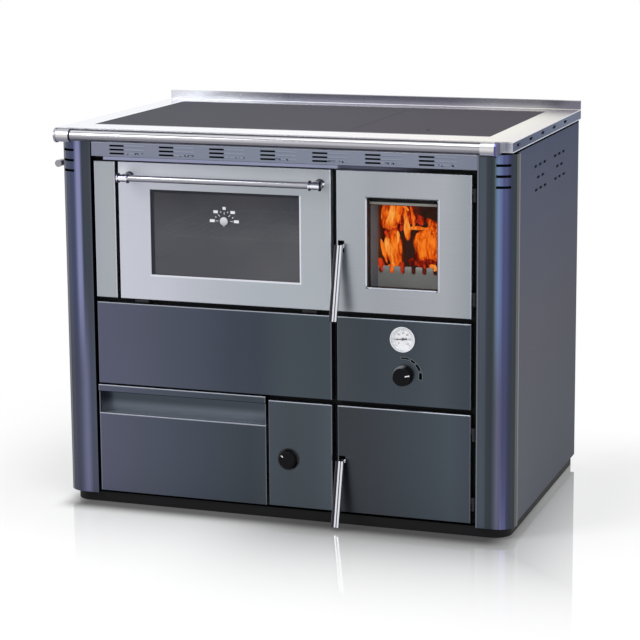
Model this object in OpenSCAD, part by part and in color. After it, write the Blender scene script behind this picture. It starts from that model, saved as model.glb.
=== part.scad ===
// Free-standing central-heating wood cooker. Millimetres, +Z up.
// Origin: centre of the base on the floor, +X to the right seen from the front, +Y to the back.
// Pieces are drawn with the door plane at y = 0, and at_front() moves them into the part's frame.

/* [Body] */
// Width over the two front columns
body_w = 1036; // [1010:1:1080]
// Depth from the door plane to the back panel
body_d = 640; // [620:1:700]
// Height of the cooking surface above the floor
hob_h = 850; // [845:1:860]
// Height of the recessed plinth
plinth_h = 22.5; // [18:0.5:26]
// Setback of the plinth behind the fronts and sides
plinth_recess = 12; // [6:1:25]
// Radius of the plinth's front corners
plinth_r = 40; // [15:1:50]
// Thickness of the sheet-metal fronts and linings
skin = 2; // [1.5:0.1:2.5]
// Thickness of the frames and welded walls
plate_t = 3; // [2.5:0.1:4]
// Bevel along the folded edges of the fronts
edge_bevel = 1.2; // [0.5:0.1:1.4]

/* [Front layout] */
// Width of one front column
column_w = 79.5; // [72:0.5:90]
// Radius of the column's outer corner
column_r = 40; // [30:1:43]
// Depth of the column along the side of the body
column_d = 45; // [42:1:60]
// How far the columns stand proud of the side panels
side_inset = 6; // [3:0.5:9]
// Clear gap between rows of fronts
row_gap = 11; // [10.5:0.5:14]
// Gap at the left-hand edge of the fronts
side_gap = 6; // [4:0.5:8]
// Gap at the right-hand edge, where the door hinges sit
hinge_gap = 12.5; // [12:0.5:16]
// Gap between the left and the right column of fronts
centre_gap = 12.5; // [8:0.5:16]
// Gap between the filler strip and the oven door
strip_gap = 8; // [5:0.5:12]
// Height of the bottom edge of the lowest row above the plinth
toe_gap = 7; // [5:0.5:10]
// Height of the lower row of fronts
lower_row_h = 236.5; // [230:0.5:240]
// Height of the middle row of fronts
middle_row_h = 185; // [180:0.5:190]
// Height of the upper row of fronts
upper_row_h = 304; // [300:0.5:306]
// Width of the fire door
fire_door_w = 296.5; // [290:0.5:305]
// Width of the oven door
oven_door_w = 491.5; // [470:0.5:500]
// Width of the wood drawer
drawer_w = 397.5; // [360:0.5:410]
// Gap between the wood drawer and the air panel
drawer_gap = 5.5; // [4:0.5:8]

/* [Doors] */
// Depth of a folded door pan
door_d = 20; // [18:0.5:22]
// Running gap between the door seals and the front frame
seal_gap = 0.3; // [0.3:0.1:0.8]
// Thickness of the door seals
seal_t = 3.7; // [3:0.1:5]
// Margin from the fire door's left edge to its window
fire_window_left = 68; // [60:1:75]
// Width of the fire door's window
fire_window_w = 154; // [140:0.5:165]
// Margin from the fire door's bottom edge to its window
fire_window_low = 56; // [50:1:64]
// Height of the fire door's window
fire_window_h = 191; // [180:1:196]
// Width of the bright rim around the fire door's window
bezel_w = 3.3; // [2.5:0.1:8]
// How far the rim stands proud of the door
bezel_proud = 1.5; // [1:0.1:3]
// Margin from the oven door's left edge to its window
oven_window_left = 75.5; // [66:0.5:85]
// Width of the oven door's window
oven_window_w = 345.5; // [320:0.5:355]
// Margin from the oven door's bottom edge to its window
oven_window_low = 57; // [50:1:64]
// Height of the oven door's window
oven_window_h = 189; // [180:1:195]
// Thickness of the door glass
glass_t = 4; // [3:0.5:5]
// Overlap of the glass behind the edge of a window
glass_lap = 9; // [6:1:12]

/* [Hinges] */
// Distance of the door hinge pins behind the door plane
hinge_depth = 4; // [3.5:0.1:4.5]
// Radius of the door hinge pins
pin_r = 2.5; // [2:0.1:2.8]
// Outside radius of the door hinge knuckles
knuckle_r = 4.4; // [4:0.1:4.8]
// Height of one hinge knuckle
knuckle_h = 14; // [10:1:18]
// Distance of a hinge from the door's upper or lower edge
hinge_inset = 28; // [20:1:40]
// Distance of the oven door's hinge pins behind the door plane
oven_hinge_depth = 5; // [4.2:0.1:6]
// Drop of the oven door's hinge pins below the door
oven_hinge_drop = 4.6; // [4.5:0.1:5]
// Radius of the oven door's hinge knuckles
oven_knuckle_r = 4; // [3.6:0.1:4.2]
// Length of one oven hinge knuckle
oven_knuckle_l = 16; // [12:1:24]
// Distance of the oven hinges from the door's left and right edges
oven_hinge_inset = 34; // [25:1:60]
// Radial running clearance of pins and spindles in their bores
turn_clear = 0.05; // [0.02:0.01:0.09]
// Axial running clearance between turning pieces
side_clear = 0.3; // [0.3:0.1:0.5]

/* [Handles] */
// Distance of the oven handle's bar in front of the door
handle_reach = 35; // [30:1:45]
// Drop of the oven handle's bar below the door's upper edge
handle_drop = 30.5; // [24:0.5:36]
// Radius of the oven handle's bar
handle_r = 7; // [5:0.5:7.5]
// Distance of the oven handle from the door's left edge
handle_inset = 15.5; // [6:0.5:22]
// Length of the oven handle over its end flanges
handle_l = 465.5; // [430:0.5:468]
// Length of the spool at each end of the oven handle
collar_l = 25; // [20:1:30]
// Radius of the flanges on both sides of a spool
collar_r = 11; // [9.5:0.5:12]
// Radius of a spool between its flanges
spool_r = 8; // [7.5:0.5:9]
// Thickness of the flanges
flange_t = 2.5; // [2:0.5:3.5]
// Radius of the posts that carry the oven handle
post_r = 8.5; // [6:0.5:9]
// Width of the lift handles of the fire and ash doors
lift_w = 17; // [14:0.5:18]
// Thickness of the lift handles
lift_t = 9; // [7:0.5:11]
// Length of the fire door's lift handle
fire_lift_l = 162; // [140:1:164]
// Length of the ash door's lift handle
ash_lift_l = 142; // [120:1:143]
// Outward slope of the lift handles from the vertical, in degrees
lift_slope = 14.3; // [12:0.1:18]
// Distance of the lift handles from the door's left edge
lift_inset = 10.5; // [10:0.1:14]
// Drop of the fire door's latch pivot below the door's upper edge
fire_latch_drop = 163; // [155:1:190]
// Drop of the ash door's latch pivot below the door's upper edge
ash_latch_drop = 124; // [115:1:126]

/* [Rail] */
// Distance of the towel rail in front of the door plane
rail_reach = 56; // [45:1:65]
// Drop of the rail's centre below the cooking surface
rail_drop = 11.5; // [10:0.5:15]
// Radius of the rail
rail_r = 11.2; // [8:0.1:12]
// Half length of the rail over its end sleeves
rail_half = 490; // [470:1:500]
// Length of one end sleeve
sleeve_l = 30; // [20:1:40]
// Radius of the end sleeves
sleeve_r = 14.5; // [13:0.5:15]

/* [Hob] */
// Height of the hob frame's edge
hob_edge_h = 22.3; // [20:0.1:24]
// Overhang of the hob frame in front of the door plane
hob_front = 12; // [8:1:20]
// Height of the upstand above the cooking surface
upstand_h = 21.5; // [15:0.5:30]
// Width of the frame to the left of the cooking plates
hob_left_margin = 58; // [54:1:75]
// Width of the frame to the right of the cooking plates
hob_right_margin = 71; // [54:1:78]
// Width of the frame in front of the cooking plates, from the door plane
hob_front_margin = 76; // [66:1:110]
// Width of the frame behind the cooking plates
hob_back_margin = 58; // [50:1:70]
// Thickness of the cast cooking plates
plate_cast_t = 12; // [10:0.5:13]
// Place of the seam between the cooking plates, from the centre
seam_x = 125; // [100:1:150]
// Gap around each cooking plate
plate_clear = 1.5; // [1:0.1:2.5]

/* [Controls] */
// Radius of the boiler thermometer's case
gauge_r = 27.5; // [25:0.5:33]
// Height of the boiler thermometer above the control panel's lower edge
gauge_up = 145; // [138:0.5:148]
// Height of the thermostat knob above the control panel's lower edge
knob_up = 65.5; // [60:0.5:78]
// Distance of the knob and thermometer from the control panel's left edge
knob_in = 148.5; // [130:0.5:165]
// Radius of the thermostat knob
knob_r = 21; // [18:0.5:24]
// How far the thermostat knob stands out
knob_depth = 18; // [14:1:26]
// How far the air valve's knob stands out
valve_depth = 12; // [10:1:20]
// Height of the air valve above the air panel's lower edge
valve_up = 107.5; // [95:0.5:125]
// Distance of the air valve from the air panel's left edge
valve_in = 46; // [42:0.5:65]
// Radius of the air valve's escutcheon
valve_r = 24.5; // [22:0.5:26]
// Radius of the control spindles
spindle_r = 4; // [3:0.5:5]

// Height of the oven thermometer above the window's lower edge
oven_gauge_up = 126; // [110:1:140]
// Radius of the oven thermometer's disc
oven_gauge_r = 9; // [7:0.5:12]
// Length of the boiler thermometer's needle
needle_l = 19; // [16:0.5:21]

/* [Fire side] */
// Thickness of the boiler's water walls at the sides and back
jacket_t = 40; // [36:1:46]
// Thickness of the boiler's water wall at the front
jacket_front_t = 53; // [46:1:58]
// Clear width of the firebox
firebox_w = 240; // [220:1:244]
// Clear depth of the firebox
firebox_d = 400; // [360:1:420]
// Height of the grate's seat above the floor
grate_z = 285; // [280:1:292]
// Height of the boiler above the grate's seat
jacket_h = 505; // [495:1:512]
// Thickness of the cast grate
grate_t = 12; // [10:1:16]
// Pitch of the log guard's teeth
guard_pitch = 24.4; // [20:0.2:30]
// Width of the slots between the teeth
guard_slot = 10; // [8:0.5:12]
// Depth of the slots between the teeth
guard_depth = 16; // [12:1:20]
// Height of the log guard's teeth above the fire door's lower edge
guard_up = 89; // [84:1:96]

/* [Oven] */
// Clear width of the oven
oven_w = 440; // [400:1:444]
// Clear height of the oven
oven_h = 265; // [250:1:268]
// Clear depth of the oven
oven_d = 440; // [380:1:460]
// Height of the rack above the oven's floor
rack_up = 116; // [90:1:150]

/* [Flue and water] */
// Outside radius of the flue spigot
flue_r = 75; // [60:0.5:75]
// Length of the flue spigot behind the back panel
flue_l = 58; // [50:1:80]
// Height of the flue spigot's centre
flue_z = 620; // [560:1:680]
// Outside radius of the heating stubs
water_r = 16.6; // [13:0.1:21]
// Outside radius of the safety coil's stubs
coil_r = 10.5; // [8:0.1:13]
// Length of the water stubs behind the back panel
stub_l = 40; // [30:1:60]
// Height of the damper lever's pivot
damper_z = 764; // [750:1:768]
// Distance of the damper lever's pivot behind the door plane
damper_y = 130; // [110:1:150]
// Radius of the damper lever and its shaft
damper_r = 6.5; // [5:0.5:7]
// Length of the damper lever
lever_l = 102; // [80:1:110]

/* [Hidden] */

// Heights of the rows
low_z0 = plinth_h + toe_gap;
low_z1 = low_z0 + lower_row_h;
mid_z0 = low_z1 + row_gap;
mid_z1 = mid_z0 + middle_row_h;
up_z0 = mid_z1 + row_gap;
up_z1 = up_z0 + upper_row_h;
fascia_z0 = up_z1 + row_gap - 1;
hob_under = hob_h - hob_edge_h;
fascia_gap = 8;
fascia_z1 = hob_under - fascia_gap;
post_z1 = hob_h - plate_t;

// Places across the front
out_x = body_w / 2;
in_x = out_x - column_w;
side_x = out_x - side_inset;
right_x1 = in_x - hinge_gap;
right_x0 = right_x1 - fire_door_w;
left_x1 = right_x0 - centre_gap;
left_x0 = side_gap - in_x;
oven_x0 = left_x1 - oven_door_w;
strip_x1 = oven_x0 - strip_gap;
drawer_x1 = left_x0 + drawer_w;
air_x0 = drawer_x1 + drawer_gap;

// Depths from the door plane
frame_y0 = door_d + seal_t + seal_gap;
frame_y1 = frame_y0 + plate_t;
back_y0 = body_d - skin;
column_front = -3;

// Hinge axes
hinge_x = in_x - hinge_gap / 2;
oven_hinge_z = up_z0 - oven_hinge_drop;
bore_r = pin_r + turn_clear;

// Windows and inner openings
fire_win_x0 = right_x0 + fire_window_left;
fire_win_x1 = fire_win_x0 + fire_window_w;
fire_win_z0 = up_z0 + fire_window_low;
fire_win_z1 = fire_win_z0 + fire_window_h;
oven_win_x0 = oven_x0 + oven_window_left;
oven_win_x1 = oven_win_x0 + oven_window_w;
oven_win_z0 = up_z0 + oven_window_low;
oven_win_z1 = oven_win_z0 + oven_window_h;
throat_x0 = fire_win_x0;
throat_x1 = fire_win_x1 + 30;
throat_z0 = fire_win_z0 - 24;
throat_z1 = fire_win_z1 - 17;
fire_seal_z1 = fire_win_z1 + 24;
fire_seal_w = 8;
fire_seal_lap = 4;

oven_gauge_x = (oven_win_x0 + oven_win_x1) / 2;
oven_gauge_z = oven_win_z0 + oven_gauge_up;
oven_stem_r = 3.3;

// Oven
oven_cx = (oven_x0 + left_x1) / 2;
oven_in_x0 = oven_cx - oven_w / 2;
oven_in_x1 = oven_cx + oven_w / 2;
oven_in_z0 = up_z0 + 17;
oven_in_z1 = oven_in_z0 + oven_h;
oven_back = frame_y1 + oven_d;

// Boiler
fire_cx = (right_x0 + right_x1) / 2 + 18;
cavity_x0 = fire_cx - firebox_w / 2;
cavity_x1 = fire_cx + firebox_w / 2;
jacket_x0 = cavity_x0 - jacket_t;
jacket_x1 = cavity_x1 + jacket_t;
cavity_y0 = frame_y1 + jacket_front_t;
cavity_y1 = cavity_y0 + firebox_d;
jacket_y1 = cavity_y1 + jacket_t;
jacket_z1 = grate_z + jacket_h;
weld_t = 4;
ledge_w = 20;

// Ash chamber and its door opening
ash_open_x0 = right_x0 + 30;
ash_open_x1 = right_x1 - 22;
ash_open_z0 = low_z0 + 16;
ash_open_z1 = low_z1 - 20;
flap_y0 = 200;
flap_y1 = 300;
flap_z0 = 120;
flap_z1 = 196;
flap_pin_x = jacket_x0 - 6;
flap_pin_z = flap_z1 + 12;
flap_pin_r = 2;

// Controls
knob_x = right_x0 + knob_in;
knob_z = mid_z0 + knob_up;
gauge_z = mid_z0 + gauge_up;
valve_x = air_x0 + valve_in;
valve_z = low_z0 + valve_up;
spindle_bore = spindle_r + turn_clear;

// Handles and latches
lift_x = right_x0 + lift_inset;
latch_depth = 9;
latch_boss_r = 6;
latch_pin_r = 3;
ear_gap = 6.5;
fire_latch_z = up_z1 - fire_latch_drop;
ash_latch_z = low_z1 - ash_latch_drop;
slot_half_w = 7;
slot_half_h = 13;
nose_z = 5.6;
strike_gap = 0.4;
handle_z = up_z1 - handle_drop;
handle_x0 = oven_x0 + handle_inset;
handle_x1 = handle_x0 + handle_l;

// Hob
hob_half = out_x - 2;
well_x0 = hob_left_margin - hob_half - plate_clear;
well_x1 = hob_half - hob_right_margin + plate_clear;
well_y0 = hob_front_margin - plate_clear;
well_y1 = body_d - hob_back_margin + plate_clear;
seat_z1 = hob_h - 1 - plate_cast_t;
seat_t = 4;
seat_w = 10;
rail_z = hob_h - rail_drop;

// Drawer
drawer_open_z0 = low_z0 + 5;
drawer_clear = 2.5;
drawer_side_clear = 4;
runner_t = 3.7;
runner_top = drawer_open_z0 + 4;
box_z0 = runner_top + side_clear;
box_z1 = low_z0 + 171;
box_x0 = left_x0 + 12;
box_x1 = drawer_x1 - 12;
box_y1 = 470;
grip_z0 = low_z0 + 179.5;
grip_depth = 32;
lip_z1 = mid_z0 - 3;
lip_z0 = lip_z1 - 15.5;
lip_reach = 3;
drawer_open_z1 = lip_z0 + skin + drawer_clear;

// Flue side
panel_flange = 16;
channel_x0 = -side_x + panel_flange + 1;
channel_x1 = oven_in_x0 - skin;
flue_x = (channel_x0 + channel_x1) / 2;
channel_y0 = 60;
channel_z0 = 480;
channel_z1 = jacket_z1 - 1;
lever_x = -out_x - 14;
damper_bore = damper_r + turn_clear;

// Places of the water stubs on the back of the boiler
stub_x = (jacket_x0 + jacket_x1) / 2 + 70;
flow_z = jacket_z1 - 50;
return_z = grate_z + 50;
coil_x = (jacket_x0 + jacket_x1) / 2 - 70;
coil_pitch = 60;
coil_z = jacket_z1 - 60;

steel = [0.66, 0.69, 0.73];
graphite = [0.27, 0.3, 0.33];
black = [0.07, 0.07, 0.08];
chrome = [0.85, 0.86, 0.88];
cast = [0.3, 0.28, 0.28];
boiler_red = [0.35, 0.36, 0.38];

// Moves a piece drawn from the door plane into the part's frame
module at_front() translate([0, -body_d / 2, 0]) children();

// A block given by its low and high corners
module block(x0, x1, y0, y1, z0, z1) translate([x0, y0, z0]) cube([x1 - x0, y1 - y0, z1 - z0]);

// Round bars along each axis
module bar_x(x0, x1, y, z, r, fn = 48)
  translate([x0, y, z]) rotate([0, 90, 0]) cylinder(h = x1 - x0, r = r, $fn = fn);
module bar_y(y0, y1, x, z, r, fn = 48)
  translate([x, y1, z]) rotate([90, 0, 0]) cylinder(h = y1 - y0, r = r, $fn = fn);
module bar_z(z0, z1, x, y, r, fn = 48) translate([x, y, z0]) cylinder(h = z1 - z0, r = r, $fn = fn);

// Extrudes an outline drawn in (y, z) along X
module along_x(x0, x1) translate([x0, 0, 0]) rotate([90, 0, 90]) linear_extrude(x1 - x0) children();

// A slot with clipped ends, centred, l long and h high
module slot_outline(l, h) {
  c = h * 0.3;
  polygon([[-l / 2, -h / 2 + c], [-l / 2 + c, -h / 2], [l / 2 - c, -h / 2], [l / 2, -h / 2 + c],
    [l / 2, h / 2 - c], [l / 2 - c, h / 2], [-l / 2 + c, h / 2], [-l / 2, h / 2 - c]]);
}
module slot_y(x, z, l, h, y0, y1)
  translate([x, y1, z]) rotate([90, 0, 0]) linear_extrude(y1 - y0) slot_outline(l, h);
module slot_x(y, z, l, h, x0, x1)
  translate([x0, y, z]) rotate([90, 0, 90]) linear_extrude(x1 - x0) slot_outline(l, h);

// A front with bevelled edges, d deep
module bevelled(x0, x1, z0, z1, d) {
  c = edge_bevel;
  w = x1 - x0;
  h = z1 - z0;
  intersection() {
    translate([x0, 0, z0]) linear_extrude(h) polygon([[0, c], [c, 0], [w - c, 0], [w, c], [w, d], [0, d]]);
    translate([x0, 0, z0]) rotate([90, 0, 90]) linear_extrude(w)
      polygon([[c, 0], [0, c], [0, h - c], [c, h], [d, h], [d, 0]]);
  }
}

// A folded sheet front, open at the back
module pan_front(x0, x1, z0, z1, d) difference() {
  bevelled(x0, x1, z0, z1, d);
  block(x0 + skin, x1 - skin, skin, d + 1, z0 + skin, z1 - skin);
}

// A sheet lining that closes the back of a door pan around a window
module liner_pan(x0, x1, z0, z1, wx0, wx1, wz0, wz1) {
  front = skin + glass_t;
  difference() {
    block(x0, x1, front, door_d, z0, z1);
    difference() {
      block(x0 + skin, x1 - skin, front - 1, door_d - skin, z0 + skin, z1 - skin);
      block(wx0 - skin, wx1 + skin, front - 2, door_d, wz0 - skin, wz1 + skin);
    }
    block(wx0, wx1, front - 1, door_d + 1, wz0, wz1);
  }
}

// A rectangular frame w wide around an opening
module ring_y(x0, x1, z0, z1, w, y0, y1) difference() {
  block(x0 - w, x1 + w, y0, y1, z0 - w, z1 + w);
  block(x0, x1, y0 - 1, y1 + 1, z0, z1);
}

// Points of an arc that starts at a0 and sweeps over the given angle
function corner(cx, cy, r, a0, n = 8, sweep = 90) =
  [for (i = [0:n]) [cx + r * cos(a0 + sweep * i / n), cy + r * sin(a0 + sweep * i / n)]];
// Outline with rounded front corners, for a tray or a plate seen from above
function rounded_front(half, y0, y1, r) = concat(
  [[half, y1], [-half, y1]], corner(-half + r, y0 + r, r, 180), corner(half - r, y0 + r, r, 270));

module plinth() color(black) at_front() difference() {
  half = side_x - plinth_recess + side_inset;
  front = plinth_recess - 3;
  back = body_d - plinth_recess;
  linear_extrude(plinth_h) polygon(rounded_front(half, front, back, plinth_r));
  translate([0, 0, plate_t]) linear_extrude(plinth_h)
    polygon(rounded_front(half - plate_t, front + plate_t, back - plate_t, plinth_r - plate_t));
}

module base_pan() color(black) at_front()
  block(-side_x + skin + 0.5, side_x - skin - 0.5, frame_y1, back_y0 - skin, plinth_h, plinth_h + plate_t);

module front_frame() color(black) at_front() difference() {
  block(-side_x + 8, side_x - 8, frame_y0, frame_y1, plinth_h, post_z1);
  block(oven_in_x0, oven_in_x1, frame_y0 - 1, frame_y1 + 1, oven_in_z0, oven_in_z1);
  block(throat_x0, throat_x1, frame_y0 - 1, frame_y1 + 1, throat_z0, throat_z1);
  block(ash_open_x0, ash_open_x1, frame_y0 - 1, frame_y1 + 1, ash_open_z0, ash_open_z1);
  block(left_x0 - drawer_clear, drawer_x1 + drawer_clear, frame_y0 - 1, frame_y1 + 1,
    drawer_open_z0, drawer_open_z1);
}

// Outline of the right column seen from above: inner flange, flat front, five pressed flats, side, rear flange
column_cx = out_x - column_r;
column_cy = column_front + column_r;
column_bends = 5;
function column_arc(r) = [for (i = [0:column_bends])
  [column_cx + r * sin(90 * i / column_bends), column_cy - r * cos(90 * i / column_bends)]];
function turned(list) = [for (i = [len(list) - 1:-1:0]) list[i]];
rear_flange = side_inset + skin;

module column_right() color(graphite) at_front() difference() {
  translate([0, 0, plinth_h]) linear_extrude(hob_under - 6.5 - plinth_h) polygon(concat(
    [[in_x, frame_y0], [in_x, column_front]], column_arc(column_r),
    [[out_x, column_d], [out_x - rear_flange, column_d], [out_x - rear_flange, column_d - skin],
     [out_x - skin, column_d - skin]],
    turned(column_arc(column_r - skin)), [[in_x + skin, column_front + skin], [in_x + skin, frame_y0]]));
  for (i = [0:2]) block(out_x - column_r, out_x - 11, column_front - 1, column_front + 17,
    hob_under - 31 - 22.8 * i, hob_under - 25.5 - 22.8 * i);
}

module column_left() mirror([1, 0, 0]) column_right();

// Two groups of short louvre slots, three rows each
module side_slots() for (group = [0, 1], row = [0:2], i = [0:(row == 1 ? 1 : 2)])
  slot_x(210 + 186 * group + 42 * i + (row == 1 ? 24 : 3 * row), hob_under - 55.5 - 26 * row, 26, 6,
    side_x - skin - 1, side_x + 1);

module side_sheet() difference() {
  union() {
    block(side_x - skin, side_x, column_d, back_y0, plinth_h, hob_under - 6.5);
    block(side_x - panel_flange, side_x, back_y0 - skin, back_y0, plinth_h, hob_under - 6.5);
  }
  side_slots();
}

module side_panel_right() color(graphite) at_front() side_sheet();

module side_panel_left() color(graphite) at_front() difference() {
  mirror([1, 0, 0]) side_sheet();
  bar_x(-side_x - 1, -side_x + skin + 1, damper_y, damper_z, damper_bore);
}

module back_panel() color(graphite) at_front() difference() {
  block(-side_x, side_x, back_y0, body_d, plinth_h, post_z1);
  bar_y(back_y0 - 1, body_d + 1, flue_x, flue_z, flue_r - plate_t, 96);
  for (z = [flow_z, return_z]) bar_y(back_y0 - 1, body_d + 1, stub_x, z, water_r + 2);
  for (z = [coil_z, coil_z - coil_pitch]) bar_y(back_y0 - 1, body_d + 1, coil_x, z, coil_r + 2);
}

// Rails that carry the hob frame along both sides
module hob_supports() color(black) at_front() for (s = [-1, 1]) scale([s, 1, 1]) hob_support();
module hob_support() difference() {
  block(side_x - 32, side_x - 10, frame_y1, back_y0 - skin - 1, jacket_z1 + 1, post_z1);
  block(side_x - 32 + plate_t, side_x - 9, frame_y1 - 1, back_y0, jacket_z1 + 1 + plate_t, post_z1 - plate_t);
}

module hob_frame() color(chrome) at_front() {
  difference() {
    union() {
      difference() {
        block(-hob_half, hob_half, -hob_front, body_d, hob_under, hob_h);
        block(-hob_half + plate_t, hob_half - plate_t, -hob_front + plate_t, body_d + 1,
          hob_under - 1, post_z1);
      }
      block(well_x0 - plate_t, well_x1 + plate_t, well_y0 - plate_t, well_y1 + plate_t,
        seat_z1 - seat_t, hob_h);
      block(-hob_half, hob_half, body_d, body_d + plate_t, hob_under, hob_h + upstand_h);
    }
    block(well_x0, well_x1, well_y0, well_y1, seat_z1, hob_h + 1);
    block(well_x0 + seat_w, seam_x - seat_w, well_y0 + seat_w, well_y1 - seat_w, hob_under - 1, hob_h);
    block(seam_x + seat_w, well_x1 - seat_w, well_y0 + seat_w, well_y1 - seat_w, hob_under - 1, hob_h);
    for (i = [0:4], s = [-1, 1])
      slot_x(35 + 110.5 * i, hob_under + 12, 30, 6, s * hob_half - plate_t - 1, s * hob_half + plate_t + 1);
  }
}

plate_y0 = well_y0 + plate_clear;
plate_y1 = well_y1 - plate_clear;
module cooking_plate_left() color(cast) at_front()
  block(well_x0 + plate_clear, seam_x - 0.6, plate_y0, plate_y1, seat_z1, hob_h - 1);

module cooking_plate_right() color(cast) at_front() difference() {
  block(seam_x + 0.6, well_x1 - plate_clear, plate_y0, plate_y1, seat_z1, hob_h - 1);
  bar_z(seat_z1 - 1, hob_h, (seam_x + well_x1) / 2, plate_y0 + 85, 5);
}

module towel_rail() color(chrome) at_front()
  bar_x(-rail_half + sleeve_l, rail_half - sleeve_l, -rail_reach, rail_z, rail_r);

module rail_sleeves() color(chrome) at_front() for (s = [-1, 1])
  bar_x(s > 0 ? rail_half - sleeve_l : -rail_half, s > 0 ? rail_half : -rail_half + sleeve_l,
    -rail_reach, rail_z, sleeve_r);

// Flat brackets from the hob frame's edge to the ends of the rail
bracket_t = 4;
module rail_brackets() color(chrome) at_front() for (x = [rail_half, -rail_half - bracket_t])
  along_x(x, x + bracket_t) polygon(concat(
    [[-hob_front, hob_h - 1], [-hob_front, hob_under + 2]],
    corner(-rail_reach, rail_z, sleeve_r + 2, 300, 8, -200)));

// The fascia under the hob with groups of three louvre slots
fascia_groups = 7;
fascia_pitch = 117.5;
fascia_slot = 82;
module vent_fascia() color(steel) at_front() difference() {
  union() {
    difference() {
      bevelled(-in_x, in_x, fascia_z0, fascia_z1, frame_y0);
      block(-in_x - 1, in_x + 1, skin, frame_y0 + 1, fascia_z0 + skin, fascia_z1 - skin);
    }
  }
  for (i = [0:fascia_groups - 1], row = [-1:1])
    slot_y(-in_x + 86 + fascia_pitch * i, (fascia_z0 + fascia_z1) / 2 + 8.5 * row, fascia_slot, 4,
      -1, skin + 1);
}

module filler_strip() color(steel) at_front() pan_front(left_x0, strip_x1, up_z0, up_z1, frame_y0);

module cleaning_cover() color(graphite) at_front() pan_front(left_x0, left_x1, mid_z0, mid_z1, frame_y0);

module control_panel() color(graphite) at_front() difference() {
  pan_front(right_x0, right_x1, mid_z0, mid_z1, frame_y0);
  bar_y(-1, skin + 1, knob_x, knob_z, spindle_bore + 1);
  bar_y(-1, skin + 1, knob_x, gauge_z, gauge_r - 3);
}

// Three curved air openings around the valve's spindle
module air_ports(y0, y1) for (i = [0:2]) translate([valve_x, y1, valve_z]) rotate([90, 0, 0])
  rotate([0, 0, 60 + 120 * i]) linear_extrude(y1 - y0) polygon(concat(
    [for (k = [0:5]) (valve_r - 2) * [cos(10 * k), sin(10 * k)]],
    [for (k = [5:-1:0]) (valve_r - 8.5) * [cos(10 * k), sin(10 * k)]]));

module air_panel() color(graphite) at_front() difference() {
  pan_front(air_x0, left_x1, low_z0, low_z1, frame_y0);
  bar_y(-1, skin + 1, valve_x, valve_z, spindle_bore);
  air_ports(-1, skin + 1);
}

module air_escutcheon() color(black) at_front() difference() {
  bar_y(-1.5, 0, valve_x, valve_z, valve_r, 64);
  bar_y(-3, 1, valve_x, valve_z, spindle_bore + 1);
  air_ports(-3, 1);
}

module drawer_runners() color(black) at_front() {
  z0 = plinth_h + plate_t;
  x0 = box_x0 - drawer_side_clear;
  x1 = box_x1 + drawer_side_clear;
  block(x0 - 3, x0, frame_y1, 500, z0, runner_top + 20);
  block(x0, box_x0 + 12, frame_y1, 500, runner_top - runner_t, runner_top);
  block(x1, x1 + 3, frame_y1, 500, z0, runner_top + 20);
  block(box_x1 - 12, x1, frame_y1, 500, runner_top - runner_t, runner_top);
}

// The oven's lining with a front flange and two pressed rack ledges on each side
ledge_t = 5;
module oven_box() color([0.16, 0.16, 0.17]) at_front() {
  difference() {
    union() {
      block(oven_in_x0 - skin, oven_in_x1 + skin, frame_y1, oven_back + skin,
        oven_in_z0 - skin, oven_in_z1 + skin);
      block(oven_in_x0 - 9, oven_in_x1 + 9, frame_y1, frame_y1 + skin, oven_in_z0 - 9, oven_in_z1 + 9);
    }
    difference() {
      block(oven_in_x0, oven_in_x1, frame_y1 - 1, oven_back, oven_in_z0, oven_in_z1);
      for (step = [-70, 0, 70], z = oven_in_z0 + rack_up + step) {
        block(oven_in_x0 - 1, oven_in_x0 + 7, frame_y1 + 10, oven_back + 1, z - ledge_t, z);
        block(oven_in_x1 - 7, oven_in_x1 + 1, frame_y1 + 10, oven_back + 1, z - ledge_t, z);
      }
    }
  }
}

// Wire rack: two side rods, two cross rods and a row of thin wires
rack_rod = 3;
rack_wire = 1.6;
rack_wires = 15;
module oven_rack() color(chrome) at_front() {
  x0 = oven_in_x0 + 5;
  x1 = oven_in_x1 - 5;
  y0 = frame_y1 + 24;
  y1 = oven_back - 14;
  z = oven_in_z0 + rack_up + rack_rod;
  for (x = [x0, x1]) bar_y(y0, y1, x, z, rack_rod, 16);
  for (y = [y0 + 8, (y0 + y1) / 2, y1 - 8]) bar_x(x0, x1, y, z, rack_rod - 0.4, 16);
  for (i = [1:rack_wires]) bar_y(y0 + 2, y1 - 2, x0 + i * (x1 - x0) / (rack_wires + 1), z + 1, rack_wire, 16);
}

// The smoke channel beside the oven, open at the top and towards the flue
module flue_box() color(black) at_front() difference() {
  block(channel_x0, channel_x1, channel_y0, back_y0, channel_z0, channel_z1);
  block(channel_x0 + plate_t, channel_x1 - plate_t, channel_y0 + plate_t, back_y0 + 1,
    channel_z0 + plate_t, channel_z1 + 1);
  bar_x(channel_x0 - 1, channel_x1 + 1, damper_y, damper_z, damper_bore);
}

module flue_spigot() color(black) at_front() difference() {
  union() {
    bar_y(body_d, body_d + flue_l, flue_x, flue_z, flue_r, 96);
    bar_y(body_d, body_d + plate_t, flue_x, flue_z, flue_r + 12, 96);
  }
  bar_y(body_d - 1, body_d + flue_l + 1, flue_x, flue_z, flue_r - plate_t, 96);
}

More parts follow.
